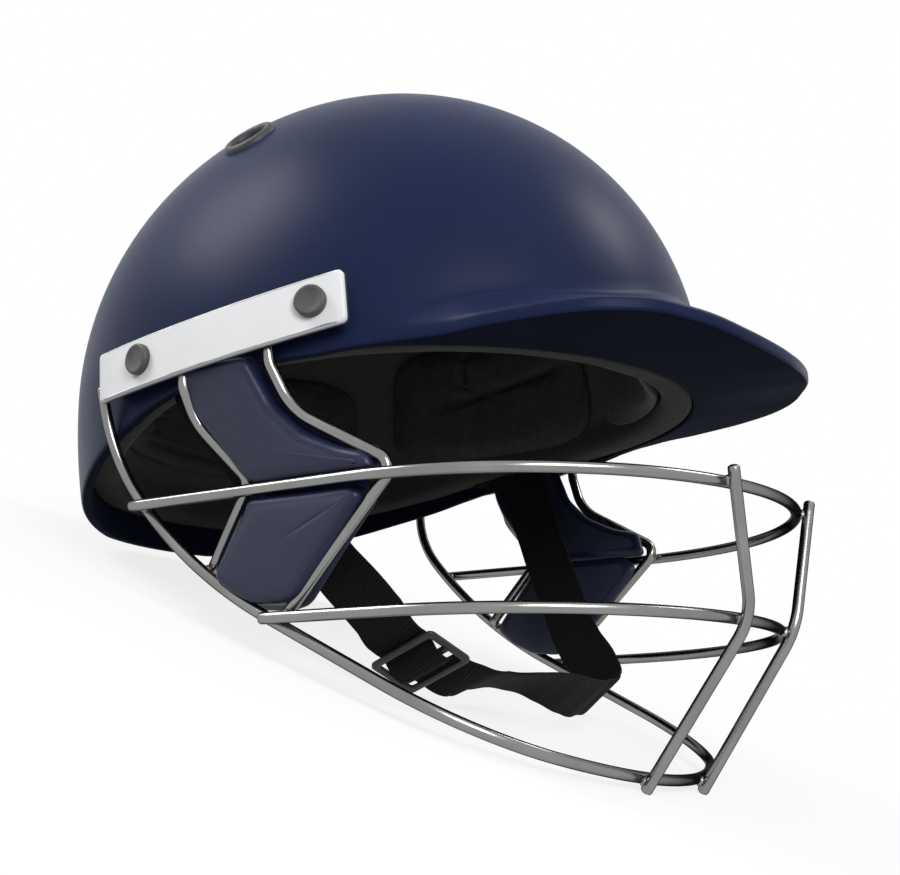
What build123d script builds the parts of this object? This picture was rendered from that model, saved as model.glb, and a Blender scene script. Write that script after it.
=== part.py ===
from build123d import *
import os
from math import sin, cos, tan, atan2, radians, degrees, sqrt

# The helmet is modelled upright as worn, in millimetres: up is +Z, the peak faces -Y, and the
# wearer's right is -X. At the end every piece is turned by one angle to the pose in which the
# helmet stands on a table, on its rear rim and on the chin end of the face guard.

# Dome of the shell
dome_half_width = 109.2
dome_half_depth = 129.5
dome_height = 125.5
dome_lower_height = 172.0
dome_centre_y = 30.9
dome_centre_z = 15.9
shell_wall = 4.0

# Side profile of the shell rim, front to rear
rim_y = [-41.0, -11.0, 20.0, 40.0, 54.0, 70.0, 88.0, 119.0, 150.0]
rim_z = [8.4, 6.0, 3.5, 1.0, -2.0, -6.8, -12.0, -22.0, -30.5]
brow_z = 8.4
prism_reach = 260.0

# Peak, as radial sections about a point behind the brow
peak_origin_y = -30.0
peak_angle = [0.0, 15.0, 29.0, 42.0, 55.0, 68.0, 80.0, 91.0]
peak_radius = [109.1, 108.2, 108.2, 108.4, 102.4, 95.6, 92.6, 97.0]
peak_low_z = [7.1, 9.3, 12.4, 12.6, 11.6, 10.4, 9.3, 8.5]
peak_crease_radius = [65.0, 67.0, 68.5, 71.0, 75.5, 81.0, 87.0, 95.0]
peak_crease_z = [39.5, 36.2, 32.3, 29.6, 27.6, 25.2, 21.4, 15.6]
peak_bury = 7.0
peak_root_radius = 44.0
peak_band = 4.5
peak_skin = 3.0
peak_core_angle = 55.0

# Vents
vent_y = 43.4
vent_z = 106.8
vent_x = dome_half_width * sqrt(1 - ((vent_y - dome_centre_y) / dome_half_depth) ** 2
                                - ((vent_z - dome_centre_z) / dome_height) ** 2)
vent_flange_radius = 11.0
vent_flange_rise = 1.7
vent_bore_radius = 6.75
vent_sleeve_radius = 8.0
vent_sleeve_length = 15.6
vent_seat_radius = 112.0
vent_seat_gap = 0.2

# Liner and comfort pads
liner_thickness = 12.0
liner_rim_y = [-100.0, -41.0, 0.0, 40.0, 70.0, 100.0, 145.0]
liner_rim_z = [8.6, 8.8, 9.0, 8.6, 6.0, 1.0, -6.5]
comfort_thickness = 7.0
comfort_round = 2.4
channel_width = 2.2
channel_depth = 2.6
brow_channel_x = 33.0
brow_pad_bottom = 11.0
brow_pad_top = 50.0
brow_pad_back_y = -36.0
side_pad_front_y = -28.0
side_pad_back_y = 74.0
side_pad_bottom = 15.0
side_pad_top = 62.0
side_pad_inner_x = 40.0
rear_channel_x = 19.0
rear_pad_front_y = 100.0
rear_pad_bottom = 4.0
rear_pad_top = 52.0
crown_pad_half_width = 34.0
crown_pad_front_y = -6.0
crown_pad_back_y = 67.8
crown_pad_bottom = 90.0
side_pad_radius = 126.0
end_pad_radius = 75.5
crown_pad_radius = 78.0

# Side plates and their screws
plate_gap = 6.0
plate_thickness = 2.0
plate_top_front = (-24.5, 32.3)
plate_top_middle = (29.9, 21.9)
plate_top_rear = (80.6, 18.3)
plate_low_front = (-26.1, 13.9)
plate_low_middle = (30.3, 3.8)
plate_low_rear = (78.6, 0.1)
plate_corner = 2.5
boss_radius = 5.2
boss_gap = 0.3
lug_half_width = 4.1
lug_gap = 0.6
front_screw_y = -12.6
front_screw_z = 21.1
rear_screw_y = 53.7
rear_screw_z = 11.3
cap_radius = 5.5
cap_height = 2.5
cap_round = 0.9
screw_radius = 2.0
screw_length = 12.6
screw_bore_clearance = 0.06
plate_bore_clearance = 0.25
nut_barrel_radius = 3.2
nut_flange_radius = 5.2
nut_flange_thickness = 1.3
nut_gap = 0.15
nut_pocket_radius = 7.5
nut_pocket_depth = 5.5

# Face guard wire
wire_radius = 2.03
weld_gap = 0.03
top_hoop_z = -37.2
top_hoop_inset = 4.2
top_hoop_radius = dome_half_width - top_hoop_inset
hoop_origin_y = -26.0
top_hoop_toe_in = 0.95
top_hoop_rear_y = 66.6
middle_hoop_z = -79.6
middle_hoop_inset = 11.2
middle_hoop_radius = dome_half_width - middle_hoop_inset
middle_hoop_sweep = 84.7
middle_hoop_rear_y = 9.0
lower_tilt = 27.5
lower_plane_y = 34.43
lower_plane_z = -66.14
lower_front_sweep = 24.4
lower_front_inset = 47.235
lower_front_radius = (dome_half_width - lower_front_inset) / sin(radians(lower_front_sweep))
lower_shoulder_along = -126.102
lower_tip = lower_shoulder_along - lower_front_radius * (1 - cos(radians(lower_front_sweep)))
lower_shoulder_radius = 56.6
lower_side_sweep = 87.2
lower_straight = 50.5
lower_rise_radius = 190.0
lower_rise_slope = 49.9
lower_end_radius = 48.0
lower_end_lean = 17.0
lower_end_length = 6.0
upright_top = (36.8, -33.4)
upright_bend = (22.0, -79.6)
upright_low = (23.7, -134.4)
upright_bend_radius = 24.0
upright_top_extra = 0.66
upright_bend_extra = 0.44
upright_low_extra = 0.0

# Pad wires: how far each corner stands outside the widest line of the dome, then y and z
front_wire_run = [(1.4, 4.2, 18.0), (0.1, 2.6, 3.5), (-4.2, -4.0, -12.5), (-8.9, -41.9, -33.7),
                  (-11.92, 1.2, -77.6)]
front_wire_points = [(dome_half_width + out, y, z) for out, y, z in front_wire_run]
front_wire_radii = [10.0, 24.0, 5.0]
rear_wire_run = [(3.8, 37.3, 13.5), (3.1, 37.0, -0.5), (-2.8, 35.8, -12.0), (-8.38, 16.0, -33.6),
                 (-14.37, 36.3, -61.2)]
rear_wire_points = [(dome_half_width + out, y, z) for out, y, z in rear_wire_run]
rear_wire_radii = [8.0, 18.0, 5.0]

# Cheek pads, drawn on planes that lean with the pad wires
pad_groove_clearance = 0.35
upper_pad_inset = 4.6
upper_pad_origin = (dome_half_width - upper_pad_inset, 0.0, -14.0)
upper_pad_lean = 13.4
upper_pad_outline = [(41.0, 22.0), (11.0, 22.0), (2.0, 4.0), (-8.5, -6.0), (-22.0, -12.6), (-33.0, -15.4),
                     (-35.4, -21.6), (14.0, -21.6), (18.5, -17.2), (25.0, -8.0), (32.6, 2.0), (37.0, 10.0)]
lower_pad_inset = 10.4
lower_pad_origin = (dome_half_width - lower_pad_inset, 0.0, -57.0)
lower_pad_lean = 5.4
lower_pad_outline = [(15.2, 17.6), (-27.0, 17.6), (-31.0, 14.2), (-3.6, -17.0), (3.0, -18.4), (14.6, -17.4),
                     (24.4, -12.8), (31.0, -7.4), (24.0, 3.0), (16.8, 13.0)]
pad_outline_corner = 3.2
pad_levels = [-5.6, -3.8, 0.0, 3.2, 4.6]
pad_insets = [2.8, 0.8, 0.0, 0.9, 2.6]
pad_rim_gap = 0.5

# Chin strap and buckle
strap_half_width = 10.0
strap_half_thickness = 0.7
strap_tab_extra = 0.25
strap_tab_margin = 0.6
anchor_inset = 8.9
anchor_x = dome_half_width - anchor_inset
anchor_y = 45.0
anchor_z = 13.0
rivet_radius = 2.2
rivet_clearance = 0.05
rivet_shoulder_radius = 2.8
rivet_head_radius = 3.4
rivet_head_thickness = 1.2
rivet_seat_gap = 0.55
eyelet_clearance = 0.5
strap_pocket_depth = 8.2
strap_pocket_front = 14.0
strap_pocket_back = 66.0
strap_pocket_top = 30.0

# Strap beside each cheek: inset from the widest line of the dome, then y and z
strap_near_run = [(8.9, 45.0, 13.0), (9.1, 41.8, 5.6), (10.7, 37.4, -3.2), (15.8, 30.6, -14.0),
                  (27.2, 15.0, -38.0), (34.2, -1.5, -61.0), (38.4, -15.5, -77.0)]
strap_points = [(inset - dome_half_width, y, z) for inset, y, z in strap_near_run]
strap_far_run = [(44.6, -22.1, -76.0), (37.2, -11.0, -58.0), (26.2, 3.5, -36.0), (16.6, 17.0, -15.5),
                 (11.6, 27.4, -4.0), (9.3, 37.4, 5.2), (8.9, 45.0, 13.0)]
strap_far = [(dome_half_width - inset, y, z) for inset, y, z in strap_far_run]

# Strap under the chin: share of the dome's half width, then y, z and the roll of its face
strap_chin_shares = [(-0.366, -30.5, -97.2, 14.0), (-0.256, -33.2, -96.6, 3.0), (-0.092, -37.6, -96.0, 2.0),
                     (0.073, -40.4, -97.4, 18.0), (0.238, -39.8, -99.4, 26.0), (0.385, -38.2, -98.8, 28.0),
                     (0.495, -36.8, -95.4, 29.0), (0.549, -32.0, -87.5, 29.0)]
strap_after = [(share * dome_half_width, y, z) for share, y, z, roll in strap_chin_shares]
strap_roll = [roll for share, y, z, roll in strap_chin_shares]
buckle_x_share = -0.5363
buckle_centre = (buckle_x_share * dome_half_width, -24.65, -92.2)
buckle_along = (0.895, -0.212, -0.388)
buckle_across = (-0.057, -0.925, 0.373)
buckle_half_length = 10.6
buckle_half_width = 13.8
buckle_thickness = 1.8
buckle_side = 2.7
buckle_end_bar = 2.5
buckle_centre_bar = 2.8
buckle_chamfer = 0.6
strap_dip = 2.5

# Clearances between neighbours
soft_gap = 0.3
seat_gap = 0.05
overrun = 6.0

# Resting pose
rest_turn = -22.68


def unit(v):
    return v * (1 / v.length)


def turned(v, about, angle):
    return v.rotate(Axis((0, 0, 0), tuple(about)), angle)


def block(x0, x1, y0, y1, z0, z1):
    # Box between two values on each axis.
    box = Box(x1 - x0, y1 - y0, z1 - z0)
    return Pos((x0 + x1) / 2, (y0 + y1) / 2, (z0 + z1) / 2) * box


def mirrored(shape):
    return mirror(shape, about=Plane.YZ)


def half_dome(grow, upright, keep_upper):
    # One half of the dome ellipsoid, grown outwards by a length.
    wide = dome_half_width + grow
    deep = dome_half_depth + grow
    tall = upright + grow
    egg = scale(Sphere(wide), by=(1, deep / wide, tall / wide))
    far = prism_reach
    if keep_upper:
        keep = block(-far, far, -far, far, 0, far)
    else:
        keep = block(-far, far, -far, far, -far, 0)
    return Pos(0, dome_centre_y, dome_centre_z) * (egg & keep)


def dome(grow):
    return half_dome(grow, dome_height, True) + half_dome(grow, dome_lower_height, False)


def side_wall(grow):
    # Upright cylinder that follows the side of the dome, grown outwards by a length.
    bend = dome_half_depth ** 2 / dome_half_width
    barrel = Cylinder(bend + grow, 2 * prism_reach)
    return Pos(dome_half_width - bend, dome_centre_y, 0) * barrel


def ball(centre, radius):
    # The poles and the seam of the sphere are turned to where no pad lies.
    return Pos(*centre) * Rot(Y=135) * Sphere(radius)


def side_prism(ys, zs, lift):
    # Everything above a side profile, as a prism along X.
    far = prism_reach
    pts = [(-far, zs[0] + lift)] + [(y, z + lift) for y, z in zip(ys, zs)]
    slope = (zs[-1] - zs[-2]) / (ys[-1] - ys[-2])
    pts = pts + [(far, zs[-1] + lift + slope * (far - ys[-1])), (far, far), (-far, far)]
    curve = Spline([(0, y, z) for y, z in pts[1:-3]])
    loop = [Line((0,) + pts[0], (0,) + pts[1]), curve, Line((0,) + pts[-4], (0,) + pts[-3])]
    loop = loop + [Line((0,) + pts[-3], (0,) + pts[-2]), Line((0,) + pts[-2], (0,) + pts[-1])]
    loop = loop + [Line((0,) + pts[-1], (0,) + pts[0])]
    face = make_face(loop)
    return extrude(face, amount=far, dir=(1, 0, 0), both=True)


def railed(sections):
    # Solid whose corners follow smooth rails through a row of polygon sections.
    count = len(sections[0])
    rails = [Edge.make_spline([section[k] for section in sections]) for k in range(count)]
    faces = [Face.make_surface_from_curves(rails[k], rails[(k + 1) % count]) for k in range(count)]
    for section in (sections[0], sections[-1]):
        faces.append(make_face(Polyline(section, close=True)).faces()[0])
    body = Solid(Shell(faces))
    return body if body.volume > 0 else Solid(Shell([-f for f in faces]))


def between(table, angle):
    # Value of a peak table at an angle, by straight lines between its entries.
    angle = abs(angle)
    for i in range(len(peak_angle) - 1):
        if angle <= peak_angle[i + 1]:
            part = (angle - peak_angle[i]) / (peak_angle[i + 1] - peak_angle[i])
            return table[i] + part * (table[i + 1] - table[i])
    return table[-1]


def peak_body(skin, reach):
    # Lofted wedge of the peak, drawn in by a skin thickness and kept within an angle.
    angles = [a for a in peak_angle if a < reach] + [reach]
    angles = [-a for a in reversed(angles) if a > 0] + angles
    sections = []
    for angle in angles:
        out = between(peak_radius, angle) - skin
        low = between(peak_low_z, angle) + skin
        top = between(peak_low_z, angle) + peak_band - skin / 4
        crease_r = between(peak_crease_radius, angle)
        crease_z = between(peak_crease_z, angle) - skin * 5 / 4
        root_z = brow_z + skin
        across = Vector(sin(radians(angle)), -cos(radians(angle)), 0)
        base = Vector(0, peak_origin_y, 0)
        corners = []
        slope = (crease_z - top) / (crease_r - out)
        crease_r = crease_r - peak_bury
        crease_z = crease_z - peak_bury * slope
        for r, z in [(out, low), (out, top), (crease_r, crease_z), (peak_root_radius, crease_z),
                     (peak_root_radius, root_z)]:
            corners.append(base + across * r + Vector(0, 0, z))
        sections.append(corners)
    return railed(sections)


def outward(y, z):
    # Point and outward direction of the dome surface at a side position.
    tall = dome_height if z > dome_centre_z else dome_lower_height
    b = (y - dome_centre_y) / dome_half_depth
    c = (z - dome_centre_z) / tall
    x = dome_half_width * sqrt(1 - b * b - c * c)
    normal = Vector(x / dome_half_width ** 2, (y - dome_centre_y) / dome_half_depth ** 2,
                    (z - dome_centre_z) / tall ** 2)
    return Vector(x, y, z), unit(normal)


def rod(start, direction, radius, length):
    # Round bar from a point along a direction.
    plane = Plane(origin=start, z_dir=direction)
    return extrude(plane * Circle(radius), amount=length)


def sweep_wire(edges, radius):
    path = Wire(edges)
    start = path @ 0
    return sweep(Plane(origin=start, z_dir=path % 0) * Circle(radius), path=path)


def run_straight(point, heading, length):
    end = point + heading * length
    return Edge.make_line(point, end), end, heading


def run_bend(point, heading, about, radius, angle):
    # Arc that turns the heading about an axis direction.
    centre = point + turned(heading, about, 90) * radius
    spoke = point - centre
    middle = centre + turned(spoke, about, angle / 2)
    end = centre + turned(spoke, about, angle)
    return Edge.make_three_point_arc(point, middle, end), end, turned(heading, about, angle)


def both_sides(steps, point, heading):
    # A run from the middle outwards and its mirror image, as one chain of edges.
    right = []
    p = point
    h = heading
    for step in steps:
        if len(step) == 1:
            edge, p, h = run_straight(p, h, step[0])
        elif len(step) == 2:
            edge, p, h = run_bend(p, h, unit(h.cross(step[0])), step[1], h.get_angle(step[0]))
        else:
            edge, p, h = run_bend(p, h, step[0], step[1], step[2])
        right.append(edge)
    left = [mirror(e, about=Plane.YZ) for e in reversed(right)]
    return [e.edges()[0] if not isinstance(e, Edge) else e for e in left] + right


up = Vector(0, 0, 1)

# Centrelines of the three hoops
top_steps = [(up, top_hoop_radius, 90 + top_hoop_toe_in)]
top_tangent_y = hoop_origin_y + top_hoop_radius * sin(radians(top_hoop_toe_in))
top_steps.append(((top_hoop_rear_y - top_tangent_y) / cos(radians(top_hoop_toe_in)),))
top_start = Vector(0, hoop_origin_y - top_hoop_radius, top_hoop_z)
top_edges = both_sides(top_steps, top_start, Vector(1, 0, 0))

middle_tangent_y = hoop_origin_y - middle_hoop_radius * cos(radians(middle_hoop_sweep))
middle_length = (middle_hoop_rear_y - middle_tangent_y) / sin(radians(middle_hoop_sweep))
middle_steps = [(up, middle_hoop_radius, middle_hoop_sweep), (middle_length,)]
middle_start = Vector(0, hoop_origin_y - middle_hoop_radius, middle_hoop_z)
middle_edges = both_sides(middle_steps, middle_start, Vector(1, 0, 0))

lower_up = Vector(0, -sin(radians(lower_tilt)), cos(radians(lower_tilt)))
lower_back = Vector(0, cos(radians(lower_tilt)), sin(radians(lower_tilt)))
lower_start = Vector(0, lower_plane_y, lower_plane_z) + lower_back * lower_tip
rise_heading = Vector(0, cos(radians(lower_rise_slope)), sin(radians(lower_rise_slope)))
end_heading = Vector(sin(radians(lower_end_lean)), 0, cos(radians(lower_end_lean)))
lower_steps = [(lower_up, lower_front_radius, lower_front_sweep),
               (lower_up, lower_shoulder_radius, lower_side_sweep - lower_front_sweep),
               (lower_straight,),
               (rise_heading, lower_rise_radius),
               (end_heading, lower_end_radius),
               (lower_end_length,)]
lower_edges = both_sides(lower_steps, lower_start, Vector(1, 0, 0))


def top_hoop(radius):
    return sweep_wire(top_edges, radius)


def middle_hoop(radius):
    return sweep_wire(middle_edges, radius)


def lower_hoop(radius):
    return sweep_wire(lower_edges, radius)


# Front upright: it lies against the outside of all three hoops
reach_out = 2 * wire_radius + weld_gap


def outside_hoop(x, hoop_radius, extra):
    full = hoop_radius + reach_out + extra
    return hoop_origin_y - sqrt(full * full - x * x)


def upright_run():
    top_x, top_z = upright_top
    bend_x, bend_z = upright_bend
    low_x, low_z = upright_low
    top = Vector(top_x, outside_hoop(top_x, top_hoop_radius, upright_top_extra), top_z)
    touch = Vector(bend_x, outside_hoop(bend_x, middle_hoop_radius, upright_bend_extra), bend_z)
    lower_r = lower_front_radius + reach_out + upright_low_extra
    along = lower_tip + lower_front_radius - sqrt(lower_r * lower_r - low_x * low_x)
    low_touch = Vector(0, lower_plane_y, lower_plane_z) + lower_back * along + Vector(low_x, 0, 0)
    low = low_touch + unit(low_touch - touch) * (low_touch.Z - low_z)
    first = unit(touch - top)
    second = unit(low - touch)
    turn = first.get_angle(second)
    # The arc apex stands inside the corner, so the corner is set out by that much.
    set_out = upright_bend_radius * (1 / cos(radians(turn / 2)) - 1)
    corner = touch + unit(first - second) * set_out
    return [top, corner, low]


def upright():
    path = FilletPolyline(upright_run(), radius=upright_bend_radius)
    return sweep_wire(path.edges(), wire_radius)


def front_wire(radius):
    path = FilletPolyline(front_wire_points, radius=front_wire_radii)
    return sweep_wire(path.edges(), radius)


def rear_wire(radius):
    path = FilletPolyline(rear_wire_points, radius=rear_wire_radii)
    return sweep_wire(path.edges(), radius)


# Shell
outer = dome(0)
inner = dome(-shell_wall)
above_rim = side_prism(rim_y, rim_z, 0)
shell = (outer - inner) & above_rim
shell = shell + (peak_body(0, peak_angle[-1]) - inner)
shell = shell - peak_body(peak_skin, peak_core_angle)

vent_normal = unit(Vector(vent_x / dome_half_width ** 2, (vent_y - dome_centre_y) / dome_half_depth ** 2,
                          (vent_z - dome_centre_z) / dome_height ** 2))
vent_point = Vector(vent_x, vent_y, vent_z)
vent_far = overrun + vent_sleeve_length + liner_thickness
vent_cut = rod(vent_point + vent_normal * overrun, vent_normal * -1,
               vent_sleeve_radius + seat_gap, vent_far)
vent_cuts = vent_cut + mirrored(vent_cut)
shell = shell - vent_cuts

screw_places = [("front", front_screw_y, front_screw_z), ("rear", rear_screw_y, rear_screw_z)]
for name, y, z in screw_places:
    point, normal = outward(y, z)
    hole = rod(point + normal * overrun, normal * -1, nut_barrel_radius + seat_gap,
               2 * overrun + shell_wall)
    shell = shell - hole - mirrored(hole)
rivet_hole = rod(Vector(dome_half_width + overrun, anchor_y, anchor_z), Vector(-1, 0, 0),
                 rivet_radius + rivet_clearance, 3 * overrun)
shell = shell - rivet_hole - mirrored(rivet_hole)

# Foam core of the peak
peak_core = peak_body(peak_skin + soft_gap, peak_core_angle - 1) - dome(-shell_wall)

# Liner
liner_out = -shell_wall - soft_gap
liner_in = liner_out - liner_thickness
liner = (dome(liner_out) - dome(liner_in)) & side_prism(liner_rim_y, liner_rim_z, 0)
liner = liner - vent_cuts
for name, y, z in screw_places:
    point, normal = outward(y, z)
    pocket = rod(point, normal * -1, nut_pocket_radius, shell_wall + nut_pocket_depth)
    liner = liner - pocket - mirrored(pocket)
pocket_ring = side_wall(0) - side_wall(-shell_wall - strap_pocket_depth)
strap_pocket = pocket_ring & block(0, prism_reach, strap_pocket_front, strap_pocket_back,
                                   -prism_reach, strap_pocket_top)
liner = liner - strap_pocket - mirrored(strap_pocket)

# Comfort pads
far = prism_reach
half_channel = channel_width / 2
pad_x = dome_half_width + liner_in - soft_gap
pad_y = dome_half_depth + liner_in - soft_gap
pad_z = dome_height + liner_in - soft_gap


def comfort_pad(centre, radius, region, channels):
    # A pad of even thickness with rounded borders and sewn channels on its inner face.
    pad = (ball(centre, radius) - ball(centre, radius - comfort_thickness)) & region
    pad = fillet(pad.edges(), comfort_round)
    groove = ball(centre, radius - comfort_thickness + channel_depth)
    for cut in channels:
        pad = pad - (cut & groove)
    return pad


brow_pad = comfort_pad((0, dome_centre_y - pad_y + end_pad_radius, dome_centre_z), end_pad_radius,
                       block(-far, far, -far, brow_pad_back_y, brow_pad_bottom, brow_pad_top),
                       [block(x - half_channel, x + half_channel, -far, 0, -far, far)
                        for x in (-brow_channel_x, 0, brow_channel_x)])
side_middle = (side_pad_front_y + side_pad_back_y) / 2
side_level_z = (side_pad_bottom + side_pad_top) / 2
side_pad = comfort_pad((pad_x - side_pad_radius, dome_centre_y, dome_centre_z), side_pad_radius,
                       block(side_pad_inner_x, far, side_pad_front_y, side_pad_back_y,
                             side_pad_bottom, side_pad_top),
                       [block(0, far, side_middle - half_channel, side_middle + half_channel, -far, far),
                        block(0, far, -far, far, side_level_z - half_channel, side_level_z + half_channel)])
rear_pad = comfort_pad((0, dome_centre_y + pad_y - end_pad_radius, dome_centre_z), end_pad_radius,
                       block(-far, far, rear_pad_front_y, far, rear_pad_bottom, rear_pad_top),
                       [block(x - half_channel, x + half_channel, 0, far, -far, far)
                        for x in (-rear_channel_x, rear_channel_x)])
crown_middle = (crown_pad_front_y + crown_pad_back_y) / 2
crown_pad = comfort_pad((0, dome_centre_y, dome_centre_z + pad_z - crown_pad_radius), crown_pad_radius,
                        block(-crown_pad_half_width, crown_pad_half_width, crown_pad_front_y,
                              crown_pad_back_y, crown_pad_bottom, far),
                        [block(-half_channel, half_channel, -far, far, 0, far),
                         block(-far, far, crown_middle - half_channel, crown_middle + half_channel, 0, far)])

# Vent grommets
vent_core = vent_point - vent_normal * vent_seat_radius
flange = rod(vent_point - vent_normal * overrun, vent_normal, vent_flange_radius, 2 * overrun)
flange = flange & ball(vent_core, vent_seat_radius + vent_flange_rise)
flange = flange - ball(vent_core, vent_seat_radius + vent_seat_gap)
sleeve = rod(vent_point - vent_normal * vent_sleeve_length, vent_normal, vent_sleeve_radius,
             vent_sleeve_length + vent_flange_rise / 2)
grommet = flange + sleeve
grommet = grommet - rod(vent_point + vent_normal * overrun, vent_normal * -1, vent_bore_radius,
                        overrun + 2 * vent_sleeve_length)

# Side plate
plate_outline = [ThreePointArc((0,) + plate_top_front, (0,) + plate_top_middle, (0,) + plate_top_rear),
                 Line((0,) + plate_top_rear, (0,) + plate_low_rear),
                 ThreePointArc((0,) + plate_low_rear, (0,) + plate_low_middle, (0,) + plate_low_front),
                 Line((0,) + plate_low_front, (0,) + plate_top_front)]
plate_face = make_face(plate_outline)
plate_prism = extrude(plate_face, amount=prism_reach, dir=(1, 0, 0))
plate_prism = fillet(plate_prism.edges().filter_by(Axis.X), plate_corner)
plate_out = plate_gap + plate_thickness
plate = (side_wall(plate_out) - side_wall(plate_gap)) & plate_prism
plate_back = side_wall(plate_gap + plate_thickness / 2) - side_wall(lug_gap)
for points in [front_wire_points, rear_wire_points]:
    place = Vector(points[0])
    lug = plate_back & plate_prism & block(0, far, place.Y - lug_half_width, place.Y + lug_half_width,
                                           -far, far)
    plate = plate + lug
lower_tail = lower_edges[-1] @ 1
lug = plate_back & plate_prism & block(0, far, lower_tail.Y - lug_half_width, far, -far, far)
plate = plate + lug
boss_ring = side_wall(plate_gap + plate_thickness / 2) - side_wall(boss_gap)
for name, y, z in screw_places:
    point, normal = outward(y, z)
    boss = rod(point - normal * overrun, normal, boss_radius, 4 * overrun) & boss_ring
    plate = plate + boss
for name, y, z in screw_places:
    point, normal = outward(y, z)
    hole = rod(point - normal * overrun, normal, screw_radius + plate_bore_clearance, 5 * overrun)
    seat = rod(point + normal * (plate_out - seat_gap), normal, cap_radius + plate_bore_clearance,
               3 * overrun)
    plate = plate - hole - seat
for tool in [front_wire(wire_radius + weld_gap), rear_wire(wire_radius + weld_gap),
             lower_hoop(wire_radius + weld_gap)]:
    plate = plate - tool

# Screws and tee nuts
screws = {}
nuts = {}
for name, y, z in screw_places:
    point, normal = outward(y, z)
    seat = point + normal * plate_out
    cap = rod(seat, normal, cap_radius, cap_height)
    cap = fillet(cap.edges().sort_by(Axis(seat, normal))[-1:], cap_round)
    shank = rod(seat + normal * seat_gap, normal * -1, screw_radius, screw_length + seat_gap)
    screws[name] = cap + shank
    nut_seat = point - normal * (shell_wall + nut_gap)
    nut_base = rod(nut_seat, normal * -1, nut_flange_radius, nut_flange_thickness)
    barrel = rod(nut_seat - normal * nut_flange_thickness / 2, normal, nut_barrel_radius,
                 shell_wall - boss_gap)
    nut = nut_base + barrel
    nut = nut - rod(nut_seat - normal * 2 * overrun, normal, screw_radius + screw_bore_clearance,
                    4 * overrun)
    nuts[name] = nut

# Cheek pads


def cushion(origin, lean, outline):
    # Cushion lofted through inset outlines, so its faces are crowned and its sides drawn in.
    tilt = radians(lean)
    normal = Vector(cos(tilt), 0, -sin(tilt))
    plane = Plane(origin=origin, x_dir=(0, 1, 0), z_dir=tuple(normal))
    flat = make_face(Polyline(outline, close=True))
    flat = fillet(flat.vertices(), pad_outline_corner)
    faces = []
    for level, inset in zip(pad_levels, pad_insets):
        ring = offset(flat, amount=-inset, kind=Kind.ARC) if inset else flat
        faces.append(plane * (Pos(0, 0, level) * ring.faces()[0]))
    return loft(faces)


clear_wires = [top_hoop(wire_radius + pad_groove_clearance), middle_hoop(wire_radius + pad_groove_clearance),
               lower_hoop(wire_radius + pad_groove_clearance), front_wire(wire_radius + pad_groove_clearance),
               rear_wire(wire_radius + pad_groove_clearance)]
above_pad = side_prism(rim_y, rim_z, -pad_rim_gap)
upper_pad = cushion(upper_pad_origin, upper_pad_lean, upper_pad_outline) - above_pad
lower_pad = cushion(lower_pad_origin, lower_pad_lean, lower_pad_outline)
for tool in clear_wires:
    upper_pad = upper_pad - tool
    lower_pad = lower_pad - tool

# Strap rivet: outer head, shank, shoulder and inner head
rivet_axis = Vector(-1, 0, 0)
outer_point, outer_normal = outward(anchor_y, anchor_z)
head_start = Vector(outer_point.X + rivet_seat_gap + rivet_head_thickness, anchor_y, anchor_z)
inner_head_x = anchor_x - strap_half_thickness - eyelet_clearance - rivet_head_thickness
head = rod(head_start, rivet_axis, rivet_head_radius, rivet_head_thickness)
shoulder_start = outer_point.X - shell_wall - rivet_seat_gap
shoulder = rod(Vector(shoulder_start, anchor_y, anchor_z), rivet_axis, rivet_shoulder_radius,
               shoulder_start - anchor_x - strap_half_thickness - eyelet_clearance)
shank = rod(head_start, rivet_axis, rivet_radius, head_start.X - inner_head_x)
inner_head = rod(Vector(inner_head_x + rivet_head_thickness, anchor_y, anchor_z), rivet_axis,
                 rivet_head_radius, rivet_head_thickness)
rivet = head + shoulder + shank + inner_head

# Chin strap, lofted through ribbon sections
buckle_mid = Vector(buckle_centre)
buckle_dir = unit(Vector(buckle_along))
buckle_side_dir = Vector(buckle_across)
buckle_side_dir = unit(buckle_side_dir - buckle_dir * buckle_side_dir.dot(buckle_dir))
buckle_normal = unit(buckle_side_dir.cross(buckle_dir))
if buckle_normal.X > 0:
    buckle_normal = buckle_normal * -1


def ribbon_corners(point, along, across):
    across = unit(across - along * across.dot(along))
    through = unit(along.cross(across)) * strap_half_thickness
    across = across * strap_half_width
    return [point - across - through, point + across - through, point + across + through,
            point - across + through]


weave = [(-1.06, -1.0), (-0.76, -0.96), (-0.47, 0.0), (-0.2, 0.95), (0.0, 1.05), (0.2, 0.95), (0.47, 0.0),
         (0.76, -0.96), (1.06, -1.0)]
points = [Vector(p) for p in strap_points]
for share, side in weave:
    points.append(buckle_mid + buckle_dir * (share * buckle_half_length)
                  + buckle_normal * (side * strap_dip))
points = points + [Vector(p) for p in strap_after] + [Vector(p) for p in strap_far]
across_list = []
count_near = len(strap_points)
count_weave = len(weave)
count_after = len(strap_after)
for i in range(len(points)):
    if i < count_near:
        s = i / count_near
        hint = Vector(0, -1, 0) * (1 - s) + Vector(0, -0.87, 0.49) * s
    elif i < count_near + count_weave:
        hint = buckle_side_dir
    elif i < count_near + count_weave + count_after:
        roll = radians(strap_roll[i - count_near - count_weave])
        hint = Vector(0, -cos(roll), sin(roll))
    else:
        s = (i - count_near - count_weave - count_after + 1) / len(strap_far)
        hint = Vector(0, -0.87, 0.49) * (1 - s) + Vector(0, -1, 0) * s
    across_list.append(hint)
sections = []
for i, point in enumerate(points):
    before = points[max(i - 1, 0)]
    after = points[min(i + 1, len(points) - 1)]
    sections.append(ribbon_corners(point, unit(after - before), across_list[i]))
strap = railed(sections)
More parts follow.
